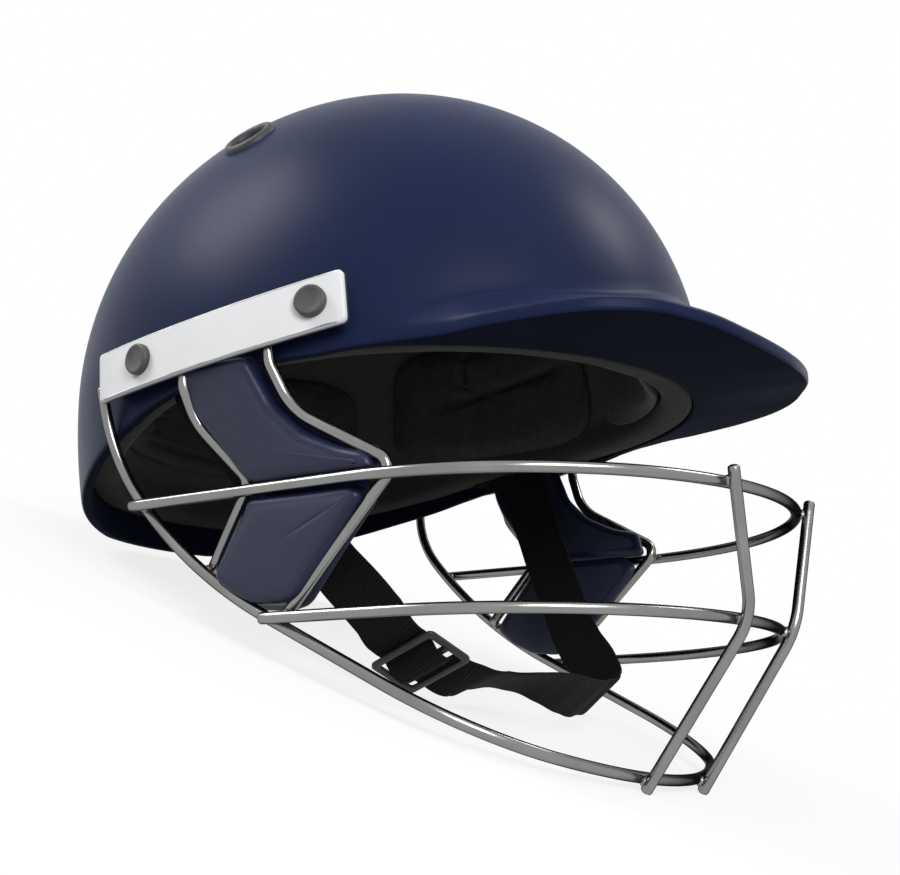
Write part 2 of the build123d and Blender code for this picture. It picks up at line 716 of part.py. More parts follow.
for side in (-1, 1):
    end_point = Vector(side * anchor_x, anchor_y, anchor_z)
    tab_half = strap_half_thickness + strap_tab_extra
    tab = rod(end_point - Vector(tab_half, 0, 0), Vector(1, 0, 0), strap_half_width + strap_tab_margin,
              2 * tab_half)
    strap = strap + tab
    strap = strap - rod(end_point - Vector(overrun, 0, 0), Vector(1, 0, 0),
                        rivet_radius + rivet_clearance, 2 * overrun)

# Buckle
buckle_plane = Plane(origin=buckle_mid, x_dir=buckle_side_dir, z_dir=buckle_normal)
frame_box = Box(2 * buckle_half_width, 2 * buckle_half_length, buckle_thickness)
frame_box = chamfer(frame_box.edges().filter_by(Axis.Z), 2 * buckle_chamfer)
frame_box = chamfer(frame_box.faces().sort_by(Axis.Z)[-1].edges(), buckle_chamfer)
slot_half = buckle_half_width - buckle_side
slot_low = buckle_centre_bar / 2
slot_high = buckle_half_length - buckle_end_bar
buckle = frame_box
for side in (-1, 1):
    low = min(side * slot_low, side * slot_high)
    high = max(side * slot_low, side * slot_high)
    buckle = buckle - block(-slot_half, slot_half, low, high, -buckle_thickness, buckle_thickness)
buckle = buckle_plane * buckle

# Every piece by name
pieces = {
    "shell": shell,
    "peak_core": peak_core,
    "liner": liner,
    "brow_pad": brow_pad,
    "side_pad_left": side_pad,
    "side_pad_right": mirrored(side_pad),
    "rear_pad": rear_pad,
    "crown_pad": crown_pad,
    "vent_grommet_left": grommet,
    "vent_grommet_right": mirrored(grommet),
    "side_plate_left": plate,
    "side_plate_right": mirrored(plate),
    "top_hoop": top_hoop(wire_radius),
    "middle_hoop": middle_hoop(wire_radius),
    "lower_hoop": lower_hoop(wire_radius),
    "front_upright_left": upright(),
    "front_upright_right": mirrored(upright()),
    "front_pad_wire_left": front_wire(wire_radius),
    "front_pad_wire_right": mirrored(front_wire(wire_radius)),
    "rear_pad_wire_left": rear_wire(wire_radius),
    "rear_pad_wire_right": mirrored(rear_wire(wire_radius)),
    "upper_cheek_pad_left": upper_pad,
    "upper_cheek_pad_right": mirrored(upper_pad),
    "lower_cheek_pad_left": lower_pad,
    "lower_cheek_pad_right": mirrored(lower_pad),
    "strap_rivet_left": rivet,
    "strap_rivet_right": mirrored(rivet),
    "chin_strap": strap,
    "buckle": buckle,
}
for name, y, z in screw_places:
    pieces[name + "_screw_left"] = screws[name]
    pieces[name + "_screw_right"] = mirrored(screws[name])
    pieces[name + "_nut_left"] = nuts[name]
    pieces[name + "_nut_right"] = mirrored(nuts[name])

# Turn to the resting pose and set the base on the ground plane
turn = Rot(X=rest_turn)
laid = {name: turn * shape for name, shape in pieces.items()}
boxes = [shape.bounding_box() for shape in laid.values()]
low_x = min(b.min.X for b in boxes)
high_x = max(b.max.X for b in boxes)
low_y = min(b.min.Y for b in boxes)
high_y = max(b.max.Y for b in boxes)
low_z = min(b.min.Z for b in boxes)
shift = Pos(-(low_x + high_x) / 2, -(low_y + high_y) / 2, -low_z)
os.makedirs("parts", exist_ok=True)
for name, shape in laid.items():
    export_step(shift * shape, "parts/" + name + ".step")
print("shift", -(low_x + high_x) / 2, -(low_y + high_y) / 2, -low_z)
for name in ["shell", "lower_hoop", "front_upright_left"]:
    print(name, "lowest", laid[name].bounding_box().min.Z - low_z)
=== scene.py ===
from math import cos, radians, sin, sqrt

import bpy
import numpy as np
from bpy.props import FloatProperty, IntProperty, PointerProperty, StringProperty
from mathutils import Matrix


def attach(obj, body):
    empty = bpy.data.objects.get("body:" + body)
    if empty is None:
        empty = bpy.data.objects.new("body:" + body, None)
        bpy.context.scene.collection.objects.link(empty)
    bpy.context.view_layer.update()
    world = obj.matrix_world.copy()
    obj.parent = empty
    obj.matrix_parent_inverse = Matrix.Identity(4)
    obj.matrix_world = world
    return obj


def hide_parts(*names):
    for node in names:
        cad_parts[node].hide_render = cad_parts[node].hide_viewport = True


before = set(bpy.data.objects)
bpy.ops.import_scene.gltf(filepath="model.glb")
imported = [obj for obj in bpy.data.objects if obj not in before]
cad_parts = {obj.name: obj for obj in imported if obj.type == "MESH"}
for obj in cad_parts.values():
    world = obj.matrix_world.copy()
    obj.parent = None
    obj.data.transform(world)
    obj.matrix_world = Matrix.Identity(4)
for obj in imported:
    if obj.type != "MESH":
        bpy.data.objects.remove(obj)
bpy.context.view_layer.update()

bl_info = {
    "name": "Cricket Helmet",
    "version": (1, 0, 0),
    "blender": (4, 5, 0),
    "location": "View3D > Sidebar > Helmet",
    "description": "Builds a cricket helmet with a steel face guard around its packed frame",
    "category": "Add Mesh",
}

# Lengths are in millimetres on the helmet as worn: up is +Z, the peak faces -Y, and the
# wearer's right is -X. One turn and one shift bring them to the pose on the table.
REST_TURN = radians(-22.68)
REST_SHIFT = (0.0, -7.2630135, 89.3892896)
MM = 0.001
DOME_WIDE = 109.2
DOME_DEEP = 129.5
DOME_TALL = 125.5
DOME_LOW = 172.0
DOME_Y = 30.9
DOME_Z = 15.9
SIDE_BEND = DOME_DEEP ** 2 / DOME_WIDE
RIM_Y = [-41.0, -11.0, 20.0, 40.0, 54.0, 70.0, 88.0, 119.0, 150.0]
RIM_Z = [8.4, 6.0, 3.5, 1.0, -2.0, -6.8, -12.0, -22.0, -30.5]
BROW_Z = 8.4
# The peak blends into the side rim from the first heading on, over as many degrees as the second
PEAK_BLEND = (52.0, 16.0)
EDGE_ROUND = 1.3
CREASE_ROUND = 3.0
# The liner lies between these two offsets inside the dome, and its lip follows its own profile
LINER_Y = [-100.0, -41.0, 0.0, 40.0, 70.0, 100.0, 145.0]
LINER_Z = [8.6, 8.4, 7.0, 4.6, -1.5, -8.5, -18.0]
LINER_OUT = -4.5
LINER_IN = -16.2
PEAK_Y = -30.0
PEAK_ANGLE = [0.0, 15.0, 29.0, 42.0, 55.0, 68.0, 80.0, 91.0]
PEAK_RADIUS = [109.1, 108.2, 108.2, 108.4, 102.4, 95.6, 92.6, 97.0]
PEAK_LOW_Z = [7.1, 9.3, 12.4, 12.6, 11.6, 10.4, 9.3, 8.5]
CREASE_RADIUS = [65.0, 67.0, 68.5, 71.0, 75.5, 81.0, 87.0, 95.0]
CREASE_Z = [39.5, 36.2, 32.3, 29.6, 27.6, 25.2, 21.4, 15.6]
VENT = np.array([74.6, 43.4, 106.8])
VENT_HOLE = 8.0
SCREW_PLACES = {"front": (-12.6, 21.1), "rear": (53.7, 11.3)}
PLATE_GAP = 6.0
PLATE_THICK = 2.0
GASKET_BACK = PLATE_GAP - 0.9
GASKET_FRONT = PLATE_GAP - 0.05
# Face guard: the arcs of both level hoops have their middle at one place fore and aft
HOOP_Y = -26.0
TOP_HOOP_RADIUS = 105.0
TOP_HOOP_Z = -37.2
TOP_HOOP_END_Y = 66.6
MIDDLE_HOOP_RADIUS = 98.0
MIDDLE_HOOP_Z = -79.6
MIDDLE_HOOP_END_Y = 9.0
LOWER_HOOP_RADIUS = 150.0
LOWER_HOOP_PLACE = np.array([0.0, 34.43, -66.14])
LOWER_HOOP_REACH = 139.5
LOWER_HOOP_TILT = radians(27.5)
WELD_GAP = 0.03
STRAP_ANCHOR = (100.3, 45.0, 13.0)
UP = np.array([0.0, 0.0, 1.0])
SIDES = {"left": 1.0, "right": -1.0}


class HelmetSizes(bpy.types.PropertyGroup):
    """Sizes that a user may change, in millimetres"""

    shell_wall: FloatProperty(
        name="Shell wall", description="Wall of the moulded shell", default=4.0, min=2.0, max=4.3)
    peak_band: FloatProperty(
        name="Peak edge", description="Height of the edge band of the peak", default=4.5, min=3.0, max=6.0)
    wire: FloatProperty(
        name="Guard wire", description="Radius of the face guard wire", default=2.03, min=1.5, max=2.2)
    rib: FloatProperty(
        name="Webbing rib", description="Spacing of the cross ribs of the webbing", default=1.3, min=0.8,
        max=3.0)
    around: IntProperty(
        name="Facets around", description="Grid columns round the shell", default=288, min=96, max=480)


class HelmetColours(bpy.types.PropertyGroup):
    """Colours that a user may change, as sRGB hex values"""

    shell: StringProperty(name="Shell", description="Satin navy of the shell", default="161f3c")
    # Painted shade: the underside and inner wall are given a darker navy than the shell
    under: StringProperty(name="Underside", description="Matt underside and inner wall", default="0e1325")
    plate: StringProperty(name="Plate", description="White of the side plates", default="e4e4e4")
    cheek: StringProperty(name="Cheek pad edge", description="Dark blue of the rolled edge", default="151c36")
    # Painted sheen: the face colour is greyer than the rolled edge
    cheek_face_sheen: StringProperty(name="Cheek pad face", description="Greyer blue of the face", default="2b3042")
    liner: StringProperty(name="Liner", description="Grey of the foam liner", default="464644")
    # Painted light: the inside of the liner is given a lighter grey than its lip
    painted_light_lining: StringProperty(name="Lining", description="Dark grey inside of the liner", default="5c5c59")
    pads: StringProperty(name="Comfort pads", description="Charcoal of the knitted pads", default="4a4a4a")
    webbing: StringProperty(name="Webbing", description="Black of the chin strap", default="131313")
    buckle: StringProperty(name="Buckle", description="Dark grey of the buckle", default="2c2c2b")
    grommet: StringProperty(name="Grommet", description="Dark grey of the vent rings", default="333437")
    cap: StringProperty(name="Screw cap", description="Grey of the screw caps", default="474746")
    gasket: StringProperty(name="Gasket", description="Near black of the gaskets", default="26272a")
    wire: StringProperty(name="Guard wire", description="Grey of the polished steel", default="8c8c8a")


# Points and surfaces


def worn(points):
    """Millimetres as worn to metres on the table: one turn about X and one shift."""
    p = np.asarray(points, float)
    c, s = cos(REST_TURN), sin(REST_TURN)
    y = p[..., 1] * c - p[..., 2] * s
    z = p[..., 1] * s + p[..., 2] * c
    return np.stack([p[..., 0], y, z], -1) * MM + np.array(REST_SHIFT) * MM


def unit(v):
    """Vectors divided by their length."""
    v = np.asarray(v, float)
    return v / np.linalg.norm(v, axis=-1, keepdims=True)


def smooth(xs, ys, x):
    """Cubic curve through the table points, with the slope at each from its neighbours."""
    xs, ys = np.asarray(xs, float), np.asarray(ys, float)
    slope = np.gradient(ys, xs)
    i = np.clip(np.searchsorted(xs, x) - 1, 0, len(xs) - 2)
    h = xs[i + 1] - xs[i]
    t = np.clip((x - xs[i]) / h, 0, 1)
    a, b = ys[i] + h * slope[i] * t, ys[i + 1] - h * slope[i + 1] * (1 - t)
    w = t * t * (3 - 2 * t)
    return a * (1 - w) + b * w


def distances(path):
    """Distance of each point along a path."""
    return np.concatenate([[0], np.cumsum(np.linalg.norm(np.diff(path, axis=0), axis=1))])


def spline(points, count):
    """Smooth curve through points: each coordinate is a cubic in the distance along the points."""
    p = np.asarray(points, float)
    run = distances(p)
    at = np.linspace(0, run[-1], count)
    return np.stack([smooth(run, p[:, k], at) for k in range(p.shape[1])], -1)


def corner(before, at, after, cut, count):
    """Rounded corner: a parabola that leaves one side and meets the other a cut from the corner."""
    a = np.linalg.norm(before - at, axis=-1, keepdims=True)
    b = np.linalg.norm(after - at, axis=-1, keepdims=True)
    start = at + (before - at) * np.minimum(cut / a, 0.45)
    end = at + (after - at) * np.minimum(cut / b, 0.45)
    t = np.linspace(0, 1, count)[:, None]
    return [start * (1 - q) ** 2 + at * 2 * q * (1 - q) + end * q * q for q in t]


def grid(name, p, around=False, along=False, start_pole=False, end_pole=False, flip=False, uv=None):
    """Mesh over a grid of points p[row, column]: each cell is one face, rows may close on
    themselves (along), columns too (around), and a pole row becomes one point."""
    rows, cols = p.shape[:2]
    index = np.arange(rows * cols).reshape(rows, cols)
    if start_pole:
        index[0, :] = index[0, 0]
    if end_pole:
        index[-1, :] = index[-1, 0]
    below = np.concatenate([index, index[:1]]) if along else index
    wide = np.concatenate([below, below[:, :1]], 1) if around else below
    quads = np.stack([wide[:-1, :-1], wide[:-1, 1:], wide[1:, 1:], wide[1:, :-1]], -1).reshape(-1, 4)
    if flip:
        quads = quads[:, ::-1]
    used, flat = np.unique(quads, return_inverse=True)
    quads = flat.reshape(-1, 4)
    mesh = bpy.data.meshes.new(name)
    faces = [tuple(dict.fromkeys(q)) for q in quads.tolist()]
    faces = [f for f in faces if len(f) > 2]
    mesh.from_pydata(p.reshape(-1, 3)[used].tolist(), [], faces)
    mesh.update()
    if uv is not None:
        layer = mesh.uv_layers.new(name="UVMap")
        corners = np.empty(len(mesh.loops), int)
        mesh.loops.foreach_get("vertex_index", corners)
        layer.data.foreach_set("uv", uv.reshape(-1, 2)[used][corners].astype(np.float32).ravel())
    mesh.shade_smooth()
    return mesh


def placed(name, data):
    """A new object in the scene, at the origin and unturned."""
    obj = bpy.data.objects.new(name, data)
    bpy.context.scene.collection.objects.link(obj)
    return obj


def dress(obj, material):
    """Gives an object one material in place of any that it has."""
    obj.data.materials.clear()
    obj.data.materials.append(material)


def piece(name, meshes, body, material, nodes=()):
    """One object from one or more meshes, riding on its body and standing for its CAD nodes."""
    objects = [placed(name, mesh) for mesh in meshes]
    if len(objects) > 1:
        with bpy.context.temp_override(active_object=objects[0], selected_editable_objects=objects):
            bpy.ops.object.join()
    obj = objects[0]
    obj.name = name
    dress(obj, material)
    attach(obj, body)
    if nodes:
        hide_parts(*nodes)
    return obj


def apply_modifiers(obj):
    """The mesh with its modifiers worked in, so that none is left live."""
    graph = bpy.context.evaluated_depsgraph_get()
    mesh = bpy.data.meshes.new_from_object(obj.evaluated_get(graph))
    obj.modifiers.clear()
    obj.data = mesh


def bore(obj, cutters):
    """Real holes: each cutter is taken out of the piece, and then deleted."""
    for cutter in cutters:
        cut = obj.modifiers.new("Bore", "BOOLEAN")
        cut.operation = "DIFFERENCE"
        cut.solver = "EXACT"
        cut.object = cutter
    apply_modifiers(obj)
    for cutter in cutters:
        bpy.data.objects.remove(cutter)


# Dome, its offsets and its rim


def dome_plan(turn, grow):
    """Distance from the dome's axis to its widest line at a heading: an ellipse in plan."""
    return 1 / np.sqrt((np.sin(turn) / (DOME_WIDE + grow)) ** 2 + (np.cos(turn) / (DOME_DEEP + grow)) ** 2)


def dome_radius(turn, z, grow):
    """Distance from the dome's axis at a heading and a height: the ellipse in plan, drawn in by
    the ellipse of the upper or the lower half in height."""
    plan = dome_plan(turn, grow)
    tall = np.where(z > DOME_Z, DOME_TALL + grow, DOME_LOW + grow)
    return plan * np.sqrt(np.clip(1 - ((z - DOME_Z) / tall) ** 2, 0, 1))


def dome_rise(turn, z, grow, count, end_share=1.0):
    """Points from the crown down a meridian to height z, at even angles of the ellipse."""
    tall = np.where(z > DOME_Z, DOME_TALL + grow, DOME_LOW + grow)
    low = np.arcsin(np.clip((z - DOME_Z) / tall, -1, 1))
    t = np.linspace(0, end_share, count)[:, None]
    angle = np.pi / 2 + (low - np.pi / 2) * t
    upper = DOME_Z + (DOME_TALL + grow) * np.sin(angle)
    lower = DOME_Z + (DOME_LOW + grow) * np.sin(angle)
    height = np.where(angle > 0, upper, lower)
    return np.stack([dome_plan(turn, grow) * np.cos(angle), height], -1)


def rim_height(turn, ys, zs, grow):
    """Height of a rim whose side profile is a table, at each heading."""
    z = np.zeros_like(turn)
    for _ in range(4):
        y = DOME_Y - dome_radius(turn, z, grow) * np.cos(turn)
        z = smooth(ys, zs, y)
    return z


def ring_points(profile, turn):
    """Profile points (distance, height) at each heading, carried round the dome's axis."""
    r, z = profile[..., 0], profile[..., 1]
    return np.stack([r * np.sin(turn), DOME_Y - r * np.cos(turn), z], -1)


def side_point(y, z, grow=0.0):
    """Point of the dome at a side position, and its outward direction."""
    tall = np.where(np.asarray(z) > DOME_Z, DOME_TALL, DOME_LOW)
    b, c = (y - DOME_Y) / DOME_DEEP, (z - DOME_Z) / tall
    x = DOME_WIDE * np.sqrt(1 - b * b - c * c)
    normal = unit(np.stack([x / DOME_WIDE ** 2, (y - DOME_Y) / DOME_DEEP ** 2 + 0 * x,
                            (z - DOME_Z) / tall ** 2 + 0 * x], -1))
    return np.stack([x, y + 0 * x, z + 0 * x], -1) + normal * grow, normal


def peak_tables(turn):
    """Edge distance, edge height and crease height at each heading, from the radial tables."""
    a = np.linspace(0, PEAK_ANGLE[-1], 200)
    rows = []
    for radius, height in ((PEAK_RADIUS, PEAK_LOW_Z), (CREASE_RADIUS, CREASE_Z)):
        r, z = smooth(PEAK_ANGLE, radius, a), smooth(PEAK_ANGLE, height, a)
        x, y = r * np.sin(np.radians(a)), PEAK_Y - r * np.cos(np.radians(a))
        heading = np.arctan2(x, DOME_Y - y)
        rows.append((heading, np.hypot(x, DOME_Y - y), z))
    side = np.abs(turn)
    return (np.interp(side, rows[0][0], rows[0][1]), np.interp(side, rows[0][0], rows[0][2]),
            np.interp(side, rows[1][0], rows[1][2]))


def shell_mesh(sizes):
    """Closed shell over heading and profile: down the dome, out along the peak, round its edge
    band, back under it to the brow and up the inner wall. At the sides the peak shrinks to the lip."""
    turn = np.linspace(-np.pi, np.pi, sizes.around, endpoint=False)
    wall, band = sizes.shell_wall, sizes.peak_band
    edge_r, edge_z, crease_z = peak_tables(turn)
    rim = rim_height(turn, RIM_Y, RIM_Z, 0.0)
    w = np.clip((np.degrees(np.abs(turn)) - PEAK_BLEND[0]) / PEAK_BLEND[1], 0, 1)
    w = w * w * (3 - 2 * w)
    low_z = edge_z * (1 - w) + rim * w
    low_r = edge_r * (1 - w) + dome_radius(turn, rim, 0) * w
    top_z = low_z + band
    top_r = edge_r * (1 - w) + dome_radius(turn, rim + band, 0) * w
    start_z = crease_z * (1 - w) + (rim + band + 2.6) * w
    brow_z = BROW_Z * (1 - w) + rim * w
    a = np.stack([dome_radius(turn, start_z, 0), start_z], -1)
    b = np.stack([top_r, top_z], -1)
    c = np.stack([low_r, low_z], -1)
    d = np.stack([dome_radius(turn, brow_z, -wall), brow_z], -1)
    outside = dome_rise(turn, start_z, 0, 52, 0.965)
    inside = dome_rise(turn, brow_z, -wall, 40, 0.985)
    rows = list(outside)
    rows += corner(outside[-1], a, b, CREASE_ROUND, 8)[1:]
    first = corner(a, b, c, EDGE_ROUND, 6)
    rows += [rows[-1] * (1 - t) + first[0] * t for t in np.linspace(0, 1, 16)[1:-1]]
    rows += first
    second = corner(b, c, d, EDGE_ROUND, 6)
    rows += second
    third = corner(c, d, inside[-1], 1.0, 5)
    rows += [second[-1] * (1 - t) + third[0] * t for t in np.linspace(0, 1, 16)[1:-1]]
    rows += third
    rows += list(inside[::-1])
    points = ring_points(np.stack(rows), turn)
    uv = np.zeros(points.shape[:2] + (2,))
    # The first UV coordinate is 1 on the underside and inner wall, which are made matt and painted darker as
    # painted shade
    uv[..., 0] = (np.arange(len(rows)) > len(outside) + 30)[:, None]
    uv[..., 1] = np.linspace(0, 1, len(rows))[:, None]
    return grid("shell_skin", worn(points), around=True, start_pole=True, end_pole=True, uv=uv)


def liner_mesh():
    """Closed foam bowl over heading and profile: down its outside, round a full soft lip and up
    its inside."""
    turn = np.linspace(-np.pi, np.pi, 192, endpoint=False)
    rim = rim_height(turn, LINER_Y, LINER_Z, LINER_OUT)
    outside = dome_rise(turn, rim, LINER_OUT, 36, 0.985)
    inside = dome_rise(turn, rim, LINER_IN, 36, 0.96)
    b = np.stack([dome_radius(turn, rim, LINER_OUT), rim], -1)
    c = np.stack([dome_radius(turn, rim, LINER_IN), rim + 0.8], -1)
    rows = list(outside) + corner(outside[-1], b, c, 2.0, 5)
    rows += corner(b, c, inside[-1], 4.8, 9) + list(inside[::-1])
    points = ring_points(np.stack(rows), turn)
    uv = np.zeros(points.shape[:2] + (2,))
    # The first UV coordinate is 1 on the inside, which is painted lighter as painted light
    uv[..., 0] = (np.arange(len(rows)) > len(rows) - len(inside))[:, None]
    return grid("liner_foam", worn(points), around=True, start_pole=True, end_pole=True, uv=uv)


# Slabs and cushions, drawn as rings of an outline


def rounded_outline(points, cut, count, per_corner=7):
    """Closed outline with rounded corners, then count points at even distances along it."""
    p = np.asarray(points, float)
    rows = []
    for k in range(len(p)):
        rows += corner(p[k - 1], p[k], p[(k + 1) % len(p)], cut, per_corner)
    q = np.array(rows)
    q = np.concatenate([q, q[:1]])
    run = distances(q)
    at = np.linspace(0, run[-1], count, endpoint=False)
    return np.stack([np.interp(at, run, q[:, k]) for k in (0, 1)], -1)


def drawn_in(points, inset, cut, spacing=1.0, per_corner=7):
    """Closed outline drawn in by a distance: each corner moves by it along the normals of both
    its sides and is then rounded, and each side keeps the count of points of the plain outline."""
    p = np.asarray(points, float)
    side = np.roll(p, -1, 0) - p
    length = np.linalg.norm(side, axis=1)
    turn = np.sign(np.sum(p[:, 0] * np.roll(p, -1, 0)[:, 1] - np.roll(p, -1, 0)[:, 0] * p[:, 1]))
    after = np.stack([-side[:, 1], side[:, 0]], -1) / length[:, None] * turn
    before = np.roll(after, 1, 0)
    q = p + inset * (before + after) / (1 + np.sum(before * after, axis=1, keepdims=True))
    bends = [corner(q[k - 1], q[k], q[(k + 1) % len(q)], cut, per_corner) for k in range(len(q))]
    rows = []
    for k, bend in enumerate(bends):
        start, end = bend[-1], bends[(k + 1) % len(q)][0]
        t = np.linspace(0, 1, max(2, int(length[k] / spacing)))[1:-1, None]
        rows += [np.array(bend), start + (end - start) * t]
    return np.concatenate(rows)


def outline_rings(outline, centre, rings):
    """Rings (inset, level, share): the outline drawn in by a distance along its own normals and
    then scaled towards the centre, each at its level."""
    ahead, behind = np.roll(outline, -1, 0), np.roll(outline, 1, 0)
    along = unit(ahead - behind)
    area = np.sum(outline[:, 0] * ahead[:, 1] - ahead[:, 0] * outline[:, 1])
    inward = np.stack([-along[:, 1], along[:, 0]], -1) * np.sign(area)
    centre = np.asarray(centre, float)
    rows = []
    for inset, level, share in rings:
        flat = centre + (outline + inward * inset - centre) * share
        rows.append(np.concatenate([flat, np.full((len(flat), 1), level)], 1))
    return np.stack(rows)


def on_side(flat, side):
    """Points (y, z, level) set over the shell's side: the upright cylinder that follows it,
    grown by the level."""
    y, z, level = flat[..., 0], flat[..., 1], flat[..., 2]
    reach = SIDE_BEND + level
    x = DOME_WIDE - SIDE_BEND + np.sqrt(reach ** 2 - (y - DOME_Y) ** 2)
    return np.stack([x * side, y, z], -1)


def on_plane(flat, origin, lean, side):
    """Points (a, b, level) on a plane that leans outwards at its top by an angle."""
    a, b, level = flat[..., 0], flat[..., 1], flat[..., 2]
    t = radians(lean)
    x = origin[0] + b * sin(t) + level * cos(t)
    z = origin[2] + b * cos(t) - level * sin(t)
    return np.stack([x * side, origin[1] + a, z], -1)


def slab(name, outline, centre, rings, place):
    """Closed slab from the rings of an outline, from the middle of its back to that of its front."""
    points = place(outline_rings(outline, centre, rings))
    mesh = grid(name, worn(points), around=True, start_pole=True, end_pole=True)
    outward_faces(mesh)
    return mesh


def outward_faces(mesh):
    """Turns every face the other way if the closed mesh is inside out by its signed volume."""
    mesh.calc_loop_triangles()
    tri = np.empty(len(mesh.loop_triangles) * 3, int)
    mesh.loop_triangles.foreach_get("vertices", tri)
    co = np.empty(len(mesh.vertices) * 3)
    mesh.vertices.foreach_get("co", co)
    p = co.reshape(-1, 3)[tri.reshape(-1, 3)]
    if np.einsum("ij,ij->i", p[:, 0], np.cross(p[:, 1], p[:, 2])).sum() < 0:
        mesh.flip_normals()


# Wire and turned parts


def turned_vector(v, axis, angle):
    """A vector turned about an axis by an angle in degrees."""
    a = radians(angle)
    return v * cos(a) + np.cross(axis, v) * sin(a) + axis * np.dot(axis, v) * (1 - cos(a))


def run_points(start, heading, steps, spacing=1.6):
    """Centreline of straights (length) and arcs (new heading, radius) or (axis, radius, angle)."""
    p, h = np.asarray(start, float), unit(heading)
    rows = [p[None]]
    for step in steps:
        if len(step) == 1:
            n = max(2, int(step[0] / 4))
            rows.append(p + h * (np.linspace(0, step[0], n + 1)[1:, None]))
        else:
            if len(step) == 2:
                new = unit(step[0])
                axis, radius = unit(np.cross(h, new)), step[1]
                angle = np.degrees(np.arccos(np.clip(np.dot(h, new), -1, 1)))
            else:
                axis, radius, angle = np.asarray(step[0], float), step[1], step[2]
            centre = p + np.cross(axis, h) * radius
            n = max(6, int(radius * radians(angle) / spacing))
            a = np.radians(np.linspace(0, angle, n + 1)[1:, None])
            spoke = p - centre
            rows.append(centre + spoke * np.cos(a) + np.cross(axis, spoke) * np.sin(a))
            h = turned_vector(h, axis, angle)
        p = rows[-1][-1]
    return np.concatenate(rows)


def bent_wire(points, radii):
    """Centreline through corner points, each corner an arc of its radius."""
    p = np.asarray(points, float)
    rows = [p[:1]]
    for k, radius in enumerate(radii, 1):
        a, b = unit(p[k - 1] - p[k]), unit(p[k + 1] - p[k])
        half = np.arccos(np.clip(np.dot(a, b), -1, 1)) / 2
        cut = radius / np.tan(half)
        middle = p[k] + unit(a + b) * radius / np.sin(half)
        start, end = p[k] + a * cut, p[k] + b * cut
        u, v = start - middle, end - middle
        angle = np.arccos(np.clip(np.dot(unit(u), unit(v)), -1, 1))
        t = np.linspace(0, 1, 14)[:, None]
        rows.append(middle + (u * np.sin((1 - t) * angle) + v * np.sin(t * angle)) / np.sin(angle))
    rows.append(p[-1:])
    q = np.concatenate(rows)
    run = distances(q)
    at = np.unique(np.concatenate([run, np.arange(0, run[-1], 4.0)]))
    return np.stack([np.interp(at, run, q[:, k]) for k in range(3)], -1)


def tube(name, path, radius, across, facets=20):
    """Round bar carried along a path, with domed ends: each ring is a circle square to the path,
    and the end rings shrink as a quarter circle."""
    path = np.asarray(path, float)
    along = unit(np.gradient(path, axis=0))
    side = unit(np.cross(along, np.asarray(across, float)))
    over = np.cross(side, along)
    round_off = np.radians(np.array([90.0, 60.0, 30.0]))
    start = path[0] - along[0] * (radius * 0.55 * np.sin(round_off))[:, None]
    end = path[-1] + along[-1] * (radius * 0.55 * np.sin(round_off[::-1]))[:, None]
    centres = np.concatenate([start, path, end])
    sizes = radius * np.concatenate([np.cos(round_off), np.ones(len(path)), np.cos(round_off[::-1])])
    side = np.concatenate([side[:1]] * 3 + [side] + [side[-1:]] * 3)
    over = np.concatenate([over[:1]] * 3 + [over] + [over[-1:]] * 3)
    a = np.linspace(0, 2 * np.pi, facets, endpoint=False)
    ring = side[:, None] * np.cos(a)[:, None] + over[:, None] * np.sin(a)[:, None]
    points = centres[:, None] + ring * sizes[:, None, None]
    mesh = grid(name, worn(points), around=True, start_pole=True, end_pole=True)
    outward_faces(mesh)
    return mesh


def turned_part(name, profile, place, axis, facets=64, closed=False):
    """Profile (distance, height) turned round an axis. A closed profile gives a ring."""
    profile = np.asarray(profile, float)
    axis = unit(axis)
    helper = np.array([0.0, 1.0, 0.0]) if abs(axis[1]) < 0.8 else np.array([1.0, 0.0, 0.0])
    u = unit(np.cross(helper, axis))
    v = np.cross(axis, u)
    a = np.linspace(0, 2 * np.pi, facets, endpoint=False)
    ring = u * np.cos(a)[:, None] + v * np.sin(a)[:, None]
    points = np.asarray(place) + ring[None] * profile[:, 0, None, None] + axis * profile[:, 1, None, None]
    mesh = grid(name, worn(points), around=True, along=closed, start_pole=not closed, end_pole=not closed)
    outward_faces(mesh)
    return mesh


def side_runs(start, steps):
    """Centreline of a hoop: the run from the middle to one side, and its mirror image."""
    half = run_points(start, (1.0, 0.0, 0.0), steps)
    other = half[:0:-1] * np.array([-1.0, 1.0, 1.0])
    return np.concatenate([other, half])


def lower_hoop_back():
    """Direction to the back in the plane of the lower hoop."""
    return np.array([0.0, cos(LOWER_HOOP_TILT), sin(LOWER_HOOP_TILT)])


